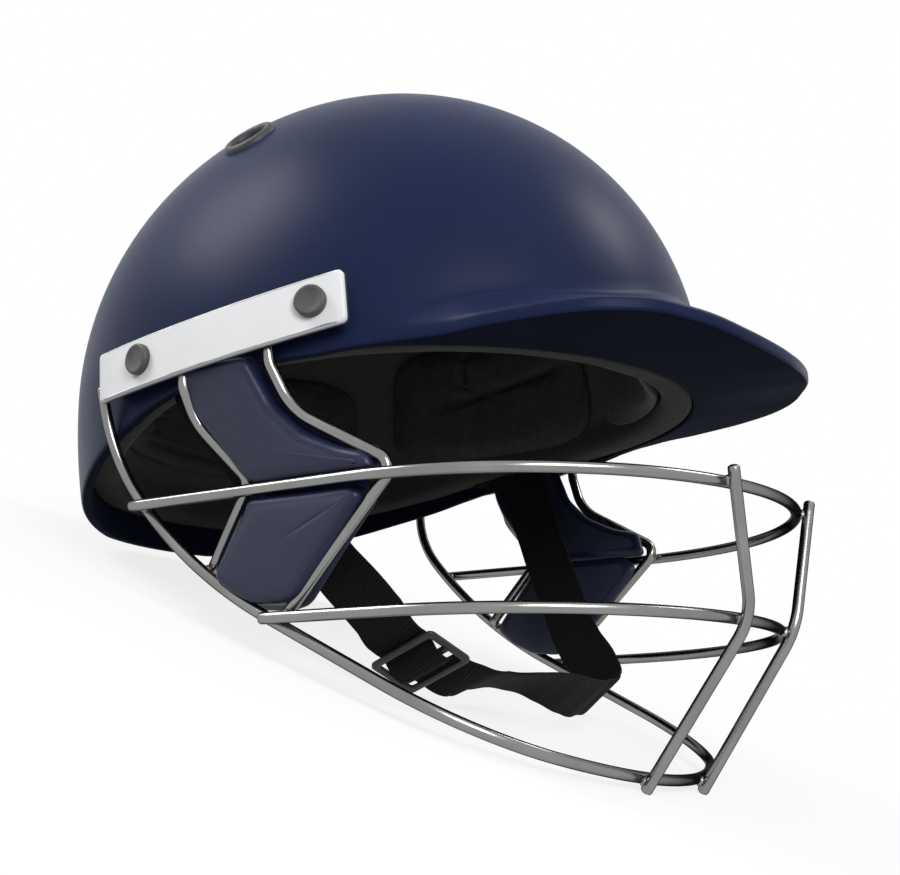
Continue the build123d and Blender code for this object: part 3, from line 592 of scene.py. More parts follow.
def hoop_paths():
    """Centrelines of the three hoops: the top and middle ones lie level, the lower one is tilted,
    rises along the cheek and ends upright behind the side plate."""
    toe = 0.95
    length = (TOP_HOOP_END_Y - HOOP_Y - TOP_HOOP_RADIUS * sin(radians(toe))) / cos(radians(toe))
    top = side_runs((0, HOOP_Y - TOP_HOOP_RADIUS, TOP_HOOP_Z), [(UP, TOP_HOOP_RADIUS, 90 + toe), (length,)])
    sweep = 84.7
    length = (MIDDLE_HOOP_END_Y - HOOP_Y + MIDDLE_HOOP_RADIUS * cos(radians(sweep))) / sin(radians(sweep))
    middle = side_runs((0, HOOP_Y - MIDDLE_HOOP_RADIUS, MIDDLE_HOOP_Z),
                       [(UP, MIDDLE_HOOP_RADIUS, sweep), (length,)])
    square = np.array([0.0, -sin(LOWER_HOOP_TILT), cos(LOWER_HOOP_TILT)])
    front_sweep, whole_sweep = 24.4, 87.2
    rise, lean = radians(49.9), radians(17.0)
    lower = side_runs(LOWER_HOOP_PLACE - lower_hoop_back() * LOWER_HOOP_REACH, [
        (square, LOWER_HOOP_RADIUS, front_sweep),
        (square, 56.6, whole_sweep - front_sweep),
        (50.5,),
        ((0.0, cos(rise), sin(rise)), 190.0),
        ((sin(lean), 0.0, cos(lean)), 48.0),
        (6.0,)])
    return top, middle, lower


def upright_corners(wire, bend):
    """Corner points of the left hand upright: outside the top and middle hoops, then down to
    the lower one. The middle corner stands out so that its arc passes the middle hoop."""
    reach = 2 * wire + WELD_GAP

    def outside(x, radius, extra):
        return HOOP_Y - sqrt((radius + reach + extra) ** 2 - x * x)

    top_x, middle_x, low_x = 36.8, 22.0, 23.7
    top = np.array([top_x, outside(top_x, TOP_HOOP_RADIUS, 0.66), TOP_HOOP_Z + 3.8])
    touch = np.array([middle_x, outside(middle_x, MIDDLE_HOOP_RADIUS, 0.44), MIDDLE_HOOP_Z])
    along = LOWER_HOOP_RADIUS - LOWER_HOOP_REACH - sqrt((LOWER_HOOP_RADIUS + reach) ** 2 - low_x ** 2)
    low_touch = LOWER_HOOP_PLACE + lower_hoop_back() * along + np.array([low_x, 0.0, 0.0])
    lowest_z = -134.4
    low = low_touch + unit(low_touch - touch) * (low_touch[2] - lowest_z)
    first, second = unit(touch - top), unit(low - touch)
    half = np.arccos(np.dot(first, second)) / 2
    return [top, touch + unit(first - second) * bend * (1 / cos(half) - 1), low]


UPRIGHT_BEND = 24.0
# Corner points of the left hand pad wires and the radii of their bends
FRONT_WIRE = [(110.6, 4.2, 18.0), (109.3, 2.6, 3.5), (105.0, -4.0, -12.5), (100.3, -41.9, -33.7),
              (97.28, 1.2, -77.6)]
FRONT_BENDS = [10.0, 24.0, 5.0]
REAR_WIRE = [(113.0, 37.3, 13.5), (112.3, 37.0, -0.5), (106.4, 35.8, -12.0), (100.82, 16.0, -33.6),
             (94.83, 36.3, -61.2)]
REAR_BENDS = [8.0, 18.0, 5.0]


def nearest(a, b):
    """The two points, one on each path, that are nearest to each other."""
    gap = np.linalg.norm(a[:, None] - b[None], axis=-1)
    i, k = np.unravel_index(np.argmin(gap), gap.shape)
    return a[i], b[k], unit(np.gradient(a, axis=0))[i], unit(np.gradient(b, axis=0))[k]


def weld(a, b):
    """Weld at a crossing: a small ball between the two wires, longer along them."""
    round_half, long_half = 1.75, 2.35
    p, q, h, k = nearest(a, b)
    out = unit(q - p)
    k = k if np.dot(h, k) > 0 else -k
    long = unit(h + k)
    wide = np.cross(out, long)
    s = np.linspace(-np.pi / 2, np.pi / 2, 9)[:, None, None]
    t = np.linspace(0, 2 * np.pi, 16, endpoint=False)[None, :, None]
    body = (out * round_half * np.sin(s) + long * long_half * np.cos(s) * np.cos(t)
            + wide * round_half * np.cos(s) * np.sin(t))
    mesh = grid("weld", worn((p + q) / 2 + body), around=True, start_pole=True, end_pole=True)
    outward_faces(mesh)
    return mesh


# Materials


def linear(code):
    """sRGB hex to linear colour."""
    c = np.array([int(code[k:k + 2], 16) for k in (0, 2, 4)]) / 255
    c = np.where(c <= 0.04045, c / 12.92, ((c + 0.055) / 1.055) ** 2.4)
    return (*c.tolist(), 1.0)


def node(tree, kind, inputs=None, **settings):
    """One node with its settings; an input is a value or another node's output."""
    n = tree.nodes.new(kind)
    for key, value in settings.items():
        setattr(n, key, value)
    for key, value in (inputs or {}).items():
        if isinstance(value, bpy.types.NodeSocket):
            tree.links.new(value, n.inputs[key])
        else:
            n.inputs[key].default_value = value
    return n


def blank(name):
    """A new material with its shader and its output only."""
    material = bpy.data.materials.new(name)
    material.use_nodes = True
    tree = material.node_tree
    tree.nodes.clear()
    shader = node(tree, "ShaderNodeBsdfPrincipled")
    node(tree, "ShaderNodeOutputMaterial", {"Surface": shader.outputs[0]})
    return material, tree, shader


def per_metre(millimetres):
    """Noise scale whose features are about that many millimetres wide."""
    return 1000.0 / millimetres


def noise(tree, coordinates, millimetres, detail=3.0, roughness=0.5):
    """Noise whose features are about that many millimetres wide."""
    return node(tree, "ShaderNodeTexNoise", {
        "Vector": coordinates, "Scale": per_metre(millimetres), "Detail": detail,
        "Roughness": roughness}).outputs[0]


def spread(tree, value, low, high, out_low, out_high):
    """A value stretched from one range to another."""
    return node(tree, "ShaderNodeMapRange", {
        "Value": value, "From Min": low, "From Max": high, "To Min": out_low,
        "To Max": out_high}).outputs[0]


def bump(tree, shader, height, distance, strength=1.0):
    """Relief on the shader, its depth in millimetres."""
    n = node(tree, "ShaderNodeBump", {"Height": height, "Distance": distance * MM, "Strength": strength})
    tree.links.new(n.outputs[0], shader.inputs["Normal"])


def shade(tree, shader, value, dark, light):
    """Base colour between two hex colours by a value from 0 to 1."""
    mix = node(tree, "ShaderNodeMix", data_type="RGBA")
    tree.links.new(value, mix.inputs[0])
    mix.inputs[6].default_value = linear(dark)
    mix.inputs[7].default_value = linear(light)
    tree.links.new(mix.outputs[2], shader.inputs["Base Color"])


def masked(tree, shader, mask, code):
    """Base colour changed to a hex colour where the mask is 1."""
    first = shader.inputs["Base Color"].links[0].from_socket
    mix = node(tree, "ShaderNodeMix", data_type="RGBA")
    tree.links.new(mask, mix.inputs[0])
    tree.links.new(first, mix.inputs[6])
    mix.inputs[7].default_value = linear(code)
    tree.links.new(mix.outputs[2], shader.inputs["Base Color"])


def tone(code, factor):
    """The hex colour made darker or lighter by a factor."""
    parts = [min(255, max(0, round(int(code[k:k + 2], 16) * factor))) for k in (0, 2, 4)]
    return "".join(f"{v:02x}" for v in parts)


def painted_abs(colours):
    """Moulded ABS under a satin navy lacquer: broad soft highlights, a faint orange peel of about 2 mm,
    and handling that leaves slightly duller and shinier patches. The underside of the peak and the
    inner wall are matt, and are painted a darker navy as painted shade."""
    material, tree, shader = blank("Satin lacquered ABS")
    at = node(tree, "ShaderNodeTexCoord").outputs["Object"]
    patches = noise(tree, at, 45, 3)
    uv = node(tree, "ShaderNodeUVMap", uv_map="UVMap").outputs[0]
    under = node(tree, "ShaderNodeSeparateXYZ", {0: uv}).outputs[0]
    shade(tree, shader, spread(tree, patches, 0.3, 0.7, 0, 1), tone(colours.shell, 0.95),
          tone(colours.shell, 1.05))
    # Painted shade: a darker navy on the underside and inner wall
    masked(tree, shader, under, colours.under)
    fine = noise(tree, at, 1.2, 2)
    rough = node(tree, "ShaderNodeMath", {0: spread(tree, patches, 0.3, 0.7, 0.36, 0.42),
                                          1: spread(tree, fine, 0.3, 0.7, -0.02, 0.02)}, operation="ADD")
    matt = node(tree, "ShaderNodeMath", {0: under, 1: 0.52}, operation="MULTIPLY").outputs[0]
    total = node(tree, "ShaderNodeMath", {0: rough.outputs[0], 1: matt}, operation="ADD")
    tree.links.new(total.outputs[0], shader.inputs["Roughness"])
    bump(tree, shader, noise(tree, at, 2.2, 2), 0.02)
    shader.inputs["IOR"].default_value = 1.5
    shader.inputs["Specular IOR Level"].default_value = 0.07
    return material


def moulded_white(colours):
    """Moulded white nylon: satin, with a fine spark-eroded grain of about half a millimetre."""
    material, tree, shader = blank("Moulded white nylon")
    at = node(tree, "ShaderNodeTexCoord").outputs["Object"]
    patches = noise(tree, at, 20, 3)
    shade(tree, shader, spread(tree, patches, 0.3, 0.7, 0, 1), tone(colours.plate, 0.97), colours.plate)
    grain = noise(tree, at, 0.6, 2)
    tree.links.new(spread(tree, grain, 0.3, 0.7, 0.42, 0.55), shader.inputs["Roughness"])
    bump(tree, shader, grain, 0.015)
    shader.inputs["IOR"].default_value = 1.53
    return material


def moulded_grey(name, code, roughness, grain_mm):
    """Moulded glass-filled nylon: matt, with a fine grain and a slightly paler worn tone."""
    material, tree, shader = blank(name)
    at = node(tree, "ShaderNodeTexCoord").outputs["Object"]
    patches = noise(tree, at, 5, 4)
    shade(tree, shader, spread(tree, patches, 0.35, 0.7, 0, 1), tone(code, 0.92), tone(code, 1.1))
    grain = noise(tree, at, grain_mm, 2)
    tree.links.new(spread(tree, grain, 0.3, 0.7, roughness - 0.06, roughness + 0.06),
                   shader.inputs["Roughness"])
    bump(tree, shader, grain, 0.03)
    shader.inputs["IOR"].default_value = 1.53
    shader.inputs["Specular IOR Level"].default_value = 0.3
    return material


def steel(name, code, roughness):
    """Drawn steel wire, barrel polished: metallic, with fine drawing marks and a few duller
    patches."""
    material, tree, shader = blank(name)
    at = node(tree, "ShaderNodeTexCoord").outputs["Object"]
    patches = noise(tree, at, 22, 3)
    marks = noise(tree, at, 0.9, 1)
    shade(tree, shader, spread(tree, patches, 0.35, 0.65, 0, 1), tone(code, 0.93), code)
    broad = spread(tree, patches, 0.3, 0.7, roughness - 0.03, roughness + 0.03)
    rough = node(tree, "ShaderNodeMath", {0: broad, 1: spread(tree, marks, 0.3, 0.7, -0.015, 0.015)},
                 operation="ADD")
    tree.links.new(rough.outputs[0], shader.inputs["Roughness"])
    bump(tree, shader, marks, 0.003)
    shader.inputs["Metallic"].default_value = 1.0
    shader.inputs["Specular Tint"].default_value = linear("0c0c0c")
    return material


def moulded_foam(colours):
    """Moulded EPS foam liner with a skinned surface: matt grey, with beads of about 3 mm that
    show as faint cells. Its inside is painted a lighter grey than its lip, as painted light."""
    material, tree, shader = blank("Moulded EPS foam")
    at = node(tree, "ShaderNodeTexCoord").outputs["Object"]
    cells = node(tree, "ShaderNodeTexVoronoi", {"Vector": at, "Scale": per_metre(3.2)}).outputs[0]
    uv = node(tree, "ShaderNodeUVMap", uv_map="UVMap").outputs[0]
    inside = node(tree, "ShaderNodeSeparateXYZ", {0: uv}).outputs[0]
    shade(tree, shader, spread(tree, noise(tree, at, 18, 3), 0.3, 0.7, 0, 1), tone(colours.liner, 0.86),
          colours.liner)
    # Painted light: a lighter grey on the inside of the bowl
    masked(tree, shader, inside, colours.painted_light_lining)
    shader.inputs["Roughness"].default_value = 0.85
    shader.inputs["Specular IOR Level"].default_value = 0.15
    bump(tree, shader, cells, 0.12)
    return material


def knitted(name, code, rib_mm, depth, sheen):
    """Brushed knitted cover over foam: crossed threads as a fine square weave, slight fading,
    and a soft sheen where the nap catches the light."""
    material, tree, shader = blank(name)
    at = node(tree, "ShaderNodeTexCoord").outputs["Object"]
    wales, courses = (
        node(tree, "ShaderNodeTexWave", {"Vector": at, "Scale": per_metre(rib_mm) / 20, "Distortion": 0.4,
                                         "Detail": 1.0}, wave_type="BANDS", bands_direction=way).outputs[1]
        for way in ("Y", "Z"))
    weave = node(tree, "ShaderNodeMath", {0: wales, 1: courses}, operation="MULTIPLY")
    fade = noise(tree, at, 12, 4, 0.6)
    both = node(tree, "ShaderNodeMath", {0: spread(tree, fade, 0.3, 0.7, 0, 0.7),
                                         1: spread(tree, weave.outputs[0], 0, 1, 0, 0.3)}, operation="ADD")
    shade(tree, shader, both.outputs[0], tone(code, 0.82), tone(code, 1.16))
    tree.links.new(spread(tree, fade, 0.3, 0.7, 0.6, 0.78), shader.inputs["Roughness"])
    bump(tree, shader, weave.outputs[0], depth)
    shader.inputs["Specular IOR Level"].default_value = 0.1
    shader.inputs["Sheen Weight"].default_value = sheen
    shader.inputs["Sheen Roughness"].default_value = 0.5
    return material


def coated_cover(colours):
    """Polyurethane coated knit, moulded over the foam: a satin leather grain of about a
    millimetre, dark blue, with the flat face painted greyer than the rolled edge as a painted sheen."""
    material, tree, shader = blank("Polyurethane coated knit")
    at = node(tree, "ShaderNodeTexCoord").outputs["Object"]
    uv = node(tree, "ShaderNodeUVMap", uv_map="UVMap").outputs[0]
    inset = node(tree, "ShaderNodeSeparateXYZ", {0: uv}).outputs[0]
    # Painted sheen: from an inset of about 1.2 to 3.6 mm the face turns greyer than the rolled edge, with
    # random patches on top
    face = spread(tree, inset, 1.2, 3.6, 0, 1)
    patches = spread(tree, noise(tree, at, 26, 3), 0.3, 0.7, -0.1, 0.1)
    sheen_and_patches = node(tree, "ShaderNodeMath", {0: face, 1: patches}, operation="ADD").outputs[0]
    shade(tree, shader, sheen_and_patches, colours.cheek, colours.cheek_face_sheen)
    grain = node(tree, "ShaderNodeTexVoronoi", {"Vector": at, "Scale": per_metre(0.9)}).outputs[0]
    tree.links.new(spread(tree, face, 0, 1, 0.38, 0.52), shader.inputs["Roughness"])
    bump(tree, shader, grain, 0.02)
    shader.inputs["Specular IOR Level"].default_value = 0.3
    return material


def ribbed_webbing(sizes, colours):
    """Woven polyester webbing: cross ribs at the weft spacing, thin long warp threads, and a colour
    that is paler on the raised ribs and darker between them. Coordinates are millimetres along and across the
    strap."""
    material, tree, shader = blank("Woven polyester webbing")
    uv = node(tree, "ShaderNodeUVMap", uv_map="UVMap").outputs[0]
    split = node(tree, "ShaderNodeSeparateXYZ", {0: uv})
    warp_mm = 0.9
    waves = []
    for run, spacing in ((split.outputs[1], sizes.rib), (split.outputs[0], warp_mm)):
        turns = node(tree, "ShaderNodeMath", {0: run, 1: 2 * np.pi / spacing}, operation="MULTIPLY")
        waves.append(node(tree, "ShaderNodeMath", {0: turns.outputs[0]}, operation="SINE").outputs[0])
    ribs, warp = waves
    small = node(tree, "ShaderNodeMath", {0: warp, 1: 0.35}, operation="MULTIPLY").outputs[0]
    height = node(tree, "ShaderNodeMath", {0: ribs, 1: small}, operation="ADD").outputs[0]
    # Colour follows the rib height: paler on the raised ribs, darker between them
    shade(tree, shader, spread(tree, height, -1.2, 1.2, 0, 1), tone(colours.webbing, 0.55),
          tone(colours.webbing, 1.35))
    shader.inputs["Roughness"].default_value = 0.8
    bump(tree, shader, height, 0.16)
    shader.inputs["Specular IOR Level"].default_value = 0.1
    return material


# Pieces, one operator each


def settings():
    """The sizes and the colours that are set on the scene."""
    scene = bpy.context.scene
    return scene.helmet_sizes, scene.helmet_colours


def vent_axis():
    """Outward direction of the dome at the left hand vent."""
    return unit(np.array([VENT[0] / DOME_WIDE ** 2, (VENT[1] - DOME_Y) / DOME_DEEP ** 2,
                          (VENT[2] - DOME_Z) / DOME_TALL ** 2]))


def vent_cutters():
    """Plain rods on the vent axes, longer than the walls that they pierce."""
    inner, outer = -30.0, 10.0
    rod = [(0, inner), (VENT_HOLE, inner), (VENT_HOLE, outer), (0, outer)]
    cutters = []
    for side in SIDES.values():
        flip = np.array([side, 1.0, 1.0])
        mesh = turned_part("cutter", rod, VENT * flip, vent_axis() * flip, 48)
        cutters.append(placed("cutter", mesh))
    return cutters


class HELMET_OT_shell(bpy.types.Operator):
    """Shell: dome, peak with its edge band, and the inner wall, with two vent holes"""

    bl_idname = "helmet.shell"
    bl_label = "Shell"

    def execute(self, context):
        sizes, colours = settings()
        material = painted_abs(colours)
        obj = piece("shell_skin", [shell_mesh(sizes)], "helmet", material, ["shell"])
        bore(obj, vent_cutters())
        return {"FINISHED"}


class HELMET_OT_liner(bpy.types.Operator):
    """Liner: a moulded foam bowl with a full rounded lip. The peak's insert is of the same foam"""

    bl_idname = "helmet.liner"
    bl_label = "Liner"

    def execute(self, context):
        material = moulded_foam(settings()[1])
        obj = piece("liner_foam", [liner_mesh()], "helmet", material, ["liner"])
        bore(obj, vent_cutters())
        dress(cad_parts["peak_core"], material)
        return {"FINISHED"}


class HELMET_OT_comfort_pads(bpy.types.Operator):
    """Comfort pads: sewn pillows round the inside of the liner, with channels"""

    bl_idname = "helmet.comfort_pads"
    bl_label = "Comfort pads"

    def execute(self, context):
        material = knitted("Black knitted polyester", settings()[1].pads, rib_mm=0.9, depth=0.04, sheen=0.02)
        for name, reach, heights, channels in PADS:
            obj = piece(name + "_cover", [pillow(name, reach, heights, channels)], "helmet", material,
                        [name])
            swell(obj, PAD_SWELL)
        return {"FINISHED"}


PAD_SWELL = 1.2
# Name, headings from the front (degrees), heights, and headings of the sewn channels
PADS = [
    ("brow_pad", (-52.0, 52.0), (12.0, 48.0), (-17.5, 0.0, 17.5)),
    ("side_pad_left", (57.0, 122.0), (13.0, 64.0), (98.0,)),
    ("side_pad_right", (-122.0, -57.0), (13.0, 64.0), (-98.0,)),
    ("rear_pad", (132.0, 228.0), (4.0, 53.0), (169.0, 191.0)),
]


def sewn_square():
    """Grid from the middle of the face over the edge to the middle of the back: whether a row is
    on the face, the two coordinates of a rounded square, and the crown, which falls from 1 at the
    middle to 0 at the edge."""
    s = np.linspace(0, np.pi, 41)[:, None]
    t = np.linspace(0, 2 * np.pi, 96, endpoint=False)[None]
    share = np.sin(s) ** 0.8
    u = np.sign(np.cos(t)) * np.abs(np.cos(t)) ** 0.42 * share
    v = np.sign(np.sin(t)) * np.abs(np.sin(t)) ** 0.42 * share
    return s < np.pi / 2, u, v, (1 - np.clip(share, 0, 1) ** 5) ** 0.5


def pillow_thickness(face, crown):
    """Thickness over the liner: it swells on the face and lies down on the back."""
    return np.where(face, 2.0 + 4.6 * crown, 2.0 - 1.6 * crown)


def pillow(name, reach, heights, channels):
    """Pillow on the inner face of the liner: a rounded square of heading and height, as thick as
    its crown, and drawn in along its channels. The side pads have a slanting seam, and their
    channels stop at it."""
    face, u, v, crown = sewn_square()
    heading = (reach[0] + reach[1]) / 2 + u * (reach[1] - reach[0]) / 2
    height = (heights[0] + heights[1]) / 2 + v * (heights[1] - heights[0]) / 2
    thick = pillow_thickness(face, crown)
    seam = 37.0 + 10.5 * np.sin(np.radians(1.35 * (109.0 - np.abs(heading))))
    channel_deep, channel_wide, seam_wide = 2.6, 0.9, 1.4
    for channel in channels:
        away = (heading - channel) / channel_wide
        if name.startswith("side"):
            away = np.where(height > seam, away, np.maximum(np.abs(away), (seam - height) / 1.2))
        thick = thick - np.where(face, channel_deep * crown * np.exp(-away ** 2), 0)
    if name.startswith("side"):
        thick = thick - np.where(face, channel_deep * crown * np.exp(-((height - seam) / seam_wide) ** 2), 0)
    turn = np.radians(heading)
    r = dome_radius(turn, height, LINER_IN - 0.2 - thick)
    points = np.stack([r * np.sin(turn), DOME_Y - r * np.cos(turn), height], -1)
    mesh = grid(name, worn(points), around=True, start_pole=True, end_pole=True)
    outward_faces(mesh)
    return mesh


def crown_pillow():
    """Pillow under the crown: a rounded square in plan, hung from the inner face of the liner."""
    half_x, half_y, channel_deep, channel_wide = 33.0, 36.0, 2.4, 1.6
    face, u, v, crown = sewn_square()
    x, y = u * half_x, DOME_Y + v * half_y
    thick = pillow_thickness(face, crown)
    for gap in (x, y - DOME_Y):
        thick = thick - np.where(face, channel_deep * crown * np.exp(-(gap / channel_wide) ** 2), 0)
    grow = LINER_IN - 0.8 - thick
    z = DOME_Z + (DOME_TALL + grow) * np.sqrt(
        1 - (x / (DOME_WIDE + grow)) ** 2 - ((y - DOME_Y) / (DOME_DEEP + grow)) ** 2)
    mesh = grid("crown_pad", worn(np.stack([x, y, z], -1)), around=True, start_pole=True, end_pole=True)
    outward_faces(mesh)
    return mesh


def swell(obj, cap):
    """Cloth cover filled by pressure for some steps, each point then held to within cap
    millimetres of where it was, so that the sewn channels and borders stay."""
    steps = 20
    mesh = obj.data
    count = len(mesh.vertices)
    before = np.empty(count * 3)
    mesh.vertices.foreach_get("co", before)
    cloth = obj.modifiers.new("Cloth", "CLOTH")
    cloth.settings.use_pressure = True
    cloth.settings.uniform_pressure_force = 4.0
    cloth.settings.effector_weights.gravity = 0.0
    cloth.settings.quality = 5
    cloth.point_cache.frame_start = 1
    cloth.point_cache.frame_end = steps
    scene = bpy.context.scene
    for step in range(1, steps + 1):
        scene.frame_set(step)
    graph = bpy.context.evaluated_depsgraph_get()
    after = np.empty(count * 3)
    obj.evaluated_get(graph).data.vertices.foreach_get("co", after)
    obj.modifiers.clear()
    scene.frame_set(1)
    move = np.nan_to_num((after - before).reshape(-1, 3))
    size = np.linalg.norm(move, axis=1, keepdims=True)
    limit = cap * MM
    move = move * (limit * np.tanh(size / limit) / np.maximum(size, 1e-9))
    mesh.vertices.foreach_set("co", before + move.ravel())
    mesh.update()


class HELMET_OT_crown_pad(bpy.types.Operator):
    """Crown pad: a sewn pillow with a cross of channels"""

    bl_idname = "helmet.crown_pad"
    bl_label = "Crown pad"

    def execute(self, context):
        material = bpy.data.materials["Black knitted polyester"]
        obj = piece("crown_pad_cover", [crown_pillow()], "helmet", material, ["crown_pad"])
        swell(obj, PAD_SWELL)
        return {"FINISHED"}


class HELMET_OT_grommets(bpy.types.Operator):
    """Vent grommets: rolled flange rings with a sleeve through shell and liner"""

    bl_idname = "helmet.grommets"
    bl_label = "Vent grommets"

    def execute(self, context):
        material = moulded_grey("Moulded grommet nylon", settings()[1].grommet, roughness=0.5, grain_mm=0.6)
        a = np.radians(np.linspace(0, 180, 13))
        lip = np.stack([8.9 + 2.1 * np.cos(a), -0.9 + 2.7 * np.sin(a)], -1)
        sleeve = [(6.75, -1.6), (6.7, -15.2), (7.0, -15.6), (VENT_HOLE - 0.1, -15.6), (VENT_HOLE, -15.2),
                  (VENT_HOLE, -3.4)]
        profile = np.concatenate([[(10.6, -2.6)], lip, sleeve])
        for name, side in SIDES.items():
            flip = np.array([side, 1.0, 1.0])
            mesh = turned_part("grommet", profile, VENT * flip, vent_axis() * flip, 72, closed=True)
            piece(f"vent_ring_{name}", [mesh], "helmet", material, [f"vent_grommet_{name}"])
        return {"FINISHED"}


# Points (fore and aft, height) of the plate's long edges, and the gasket's lugs (place, low, high,
# half width) behind the wires that end there
PLATE_TOP = [(-24.5, 32.3), (29.9, 21.9), (80.6, 18.3)]
PLATE_LOW = [(-26.1, 13.9), (30.3, 3.8), (78.6, 0.1)]
PLATE_MIDDLE = (27.0, 13.0)
LUGS = [(4.2, 10.5, 25.0, 4.1), (37.3, 5.0, 19.5, 4.1), (77.2, 3.6, 15.6, 1.9)]


def plate_outline():
    """Outline of the side plate: two long edges, each a parabola through three points, and
    two short ends, with rounded corners."""
    rows = []
    for edge in (PLATE_TOP, PLATE_LOW[::-1]):
        y = np.linspace(edge[0][0], edge[-1][0], 26)
        curve = np.polyfit([p[0] for p in edge], [p[1] for p in edge], 2)
        rows.append(np.stack([y, np.polyval(curve, y)], -1))
    return rounded_outline(np.concatenate(rows), 2.2, 240)


class HELMET_OT_side_plates(bpy.types.Operator):
    """Side plates: white moulded straps over a thin dark gasket, on bosses and lugs"""

    bl_idname = "helmet.side_plates"
    bl_label = "Side plates"

    def execute(self, context):
        colours = settings()[1]
        white = moulded_white(colours)
        rubber = moulded_grey("Moulded EPDM gasket", colours.gasket, roughness=0.7, grain_mm=0.5)
        outline = plate_outline()
        shares = np.linspace(0.04, 0.94, 20)
        front_level = PLATE_GAP + PLATE_THICK
        front = [(0.0, front_level, q) for q in shares[::-1]]
        back = [(0.0, PLATE_GAP, q) for q in shares]
        edge = [(0.5, PLATE_GAP, 1.0), (0.15, PLATE_GAP + 0.15, 1.0), (0.0, PLATE_GAP + 0.5, 1.0),
                (0.0, PLATE_GAP + 1.4, 1.0), (0.2, PLATE_GAP + 1.82, 1.0), (0.7, front_level, 1.0)]
        gasket_edge = [(0.3, GASKET_BACK, 1.0), (0.1, GASKET_BACK + 0.2, 1.0), (0.1, GASKET_FRONT - 0.2, 1.0),
                       (0.3, GASKET_FRONT, 1.0)]
        for name, side in SIDES.items():
            def place(flat):
                return on_side(flat, side)

            mesh = slab("plate", outline, PLATE_MIDDLE, [(0, PLATE_GAP, 0.0)] + back + edge + front
                        + [(0, front_level, 0.0)], place)
            piece(f"plate_{name}", [mesh], "helmet", white, [f"side_plate_{name}"])
            parts = [slab("gasket", outline, PLATE_MIDDLE, [(0, GASKET_BACK, 0.0)]
                          + [(0, GASKET_BACK, q) for q in shares] + gasket_edge
                          + [(0, GASKET_FRONT, q) for q in shares[::-1]] + [(0, GASKET_FRONT, 0.0)], place)]
            for y, z in SCREW_PLACES.values():
                point, normal = side_point(np.array(y), np.array(z))
                flip = np.array([side, 1.0, 1.0])
                parts.append(turned_part("boss", [(0, 0.3), (4.6, 0.3), (5.2, 0.8), (5.2, 5.0), (0, 5.0)],
                                         point * flip, normal * flip, 40))
            for y, low, high, half in LUGS:
                box = rounded_outline([(y - half, low), (y + half, low), (y + half, high), (y - half, high)],
                                      1.4, 64)
                rings = [(0, 0.7, 0.0), (0.6, 0.7, 1.0), (0, 1.3, 1.0), (0, 5.2, 1.0), (0, 5.2, 0.0)]
                parts.append(slab("lug", box, (y, (low + high) / 2), rings, place))
            piece(f"plate_gasket_{name}", parts, "helmet", rubber, ())
        return {"FINISHED"}


class HELMET_OT_screws(bpy.types.Operator):
    """Screws: grey caps with a rounded shoulder and a shallow dish, each on its own shank"""

    bl_idname = "helmet.screws"
    bl_label = "Screws"

    def execute(self, context):
        material = moulded_grey("Moulded screw cap nylon", settings()[1].cap, roughness=0.5, grain_mm=0.6)
        out = PLATE_GAP + PLATE_THICK
        cap = [(0, out + 2.15), (3.6, out + 2.2), (4.2, out + 2.45), (4.75, out + 2.5), (5.2, out + 2.3),
               (5.45, out + 1.9), (5.5, out + 1.4), (5.5, out + 0.05), (5.4, out), (2.0, out), (2.0, -4.4),
               (1.6, -4.8), (0, -4.8)]
        for end, (y, z) in SCREW_PLACES.items():
            point, normal = side_point(np.array(y), np.array(z))
            for name, side in SIDES.items():
                flip = np.array([side, 1.0, 1.0])
                mesh = turned_part("cap", cap[::-1], point * flip, normal * flip, 64)
                piece(f"{end}_cap_{name}", [mesh], f"{end}_screw_{name}", material,
                      [f"{end}_screw_{name}"])
        return {"FINISHED"}


class HELMET_OT_face_guard(bpy.types.Operator):
    """Face guard: three hoops, two uprights and four pad wires of drawn steel, with their welds"""

    bl_idname = "helmet.face_guard"
    bl_label = "Face guard"

    def execute(self, context):
        sizes, colours = settings()
        wire = sizes.wire
        material = steel("Barrel polished steel wire", colours.wire, roughness=0.2)
        top, middle, lower = hoop_paths()
        beside = (1.0, 0.0, 0.0)
        for name, path, across in (("top_hoop", top, UP), ("middle_hoop", middle, UP),
                                   ("lower_hoop", lower, (0.0, -0.46, 0.89))):
            piece(name + "_wire", [tube(name, path, wire, across)], "helmet", material, [name])
        upright = bent_wire(upright_corners(wire, UPRIGHT_BEND), [UPRIGHT_BEND])
        front = bent_wire(FRONT_WIRE, FRONT_BENDS)
        rear = bent_wire(REAR_WIRE, REAR_BENDS)
        welds = []
        for name, side in SIDES.items():
            flip = np.array([side, 1.0, 1.0])
            for node_name, path in (("front_upright", upright), ("front_pad_wire", front),
                                    ("rear_pad_wire", rear)):
                mesh = tube(node_name, path * flip, wire, beside)
                piece(f"{node_name}_bar_{name}", [mesh], "helmet", material, [f"{node_name}_{name}"])
            top_half, middle_half, lower_half = (p[p[:, 0] * side > 0] for p in (top, middle, lower))
            for bar, hoops in ((upright, (top_half, middle_half, lower_half)),
                               (front, (top_half, middle_half)), (rear, (top_half, lower_half))):
                welds += [weld(bar * flip, hoop) for hoop in hoops]
            welds += [weld(hoop, lower_half) for hoop in (top_half, middle_half)]
        bead = steel("Tungsten arc weld", "8f8e8b", roughness=0.36)
        piece("guard_welds", welds, "helmet", bead, ())
        return {"FINISHED"}


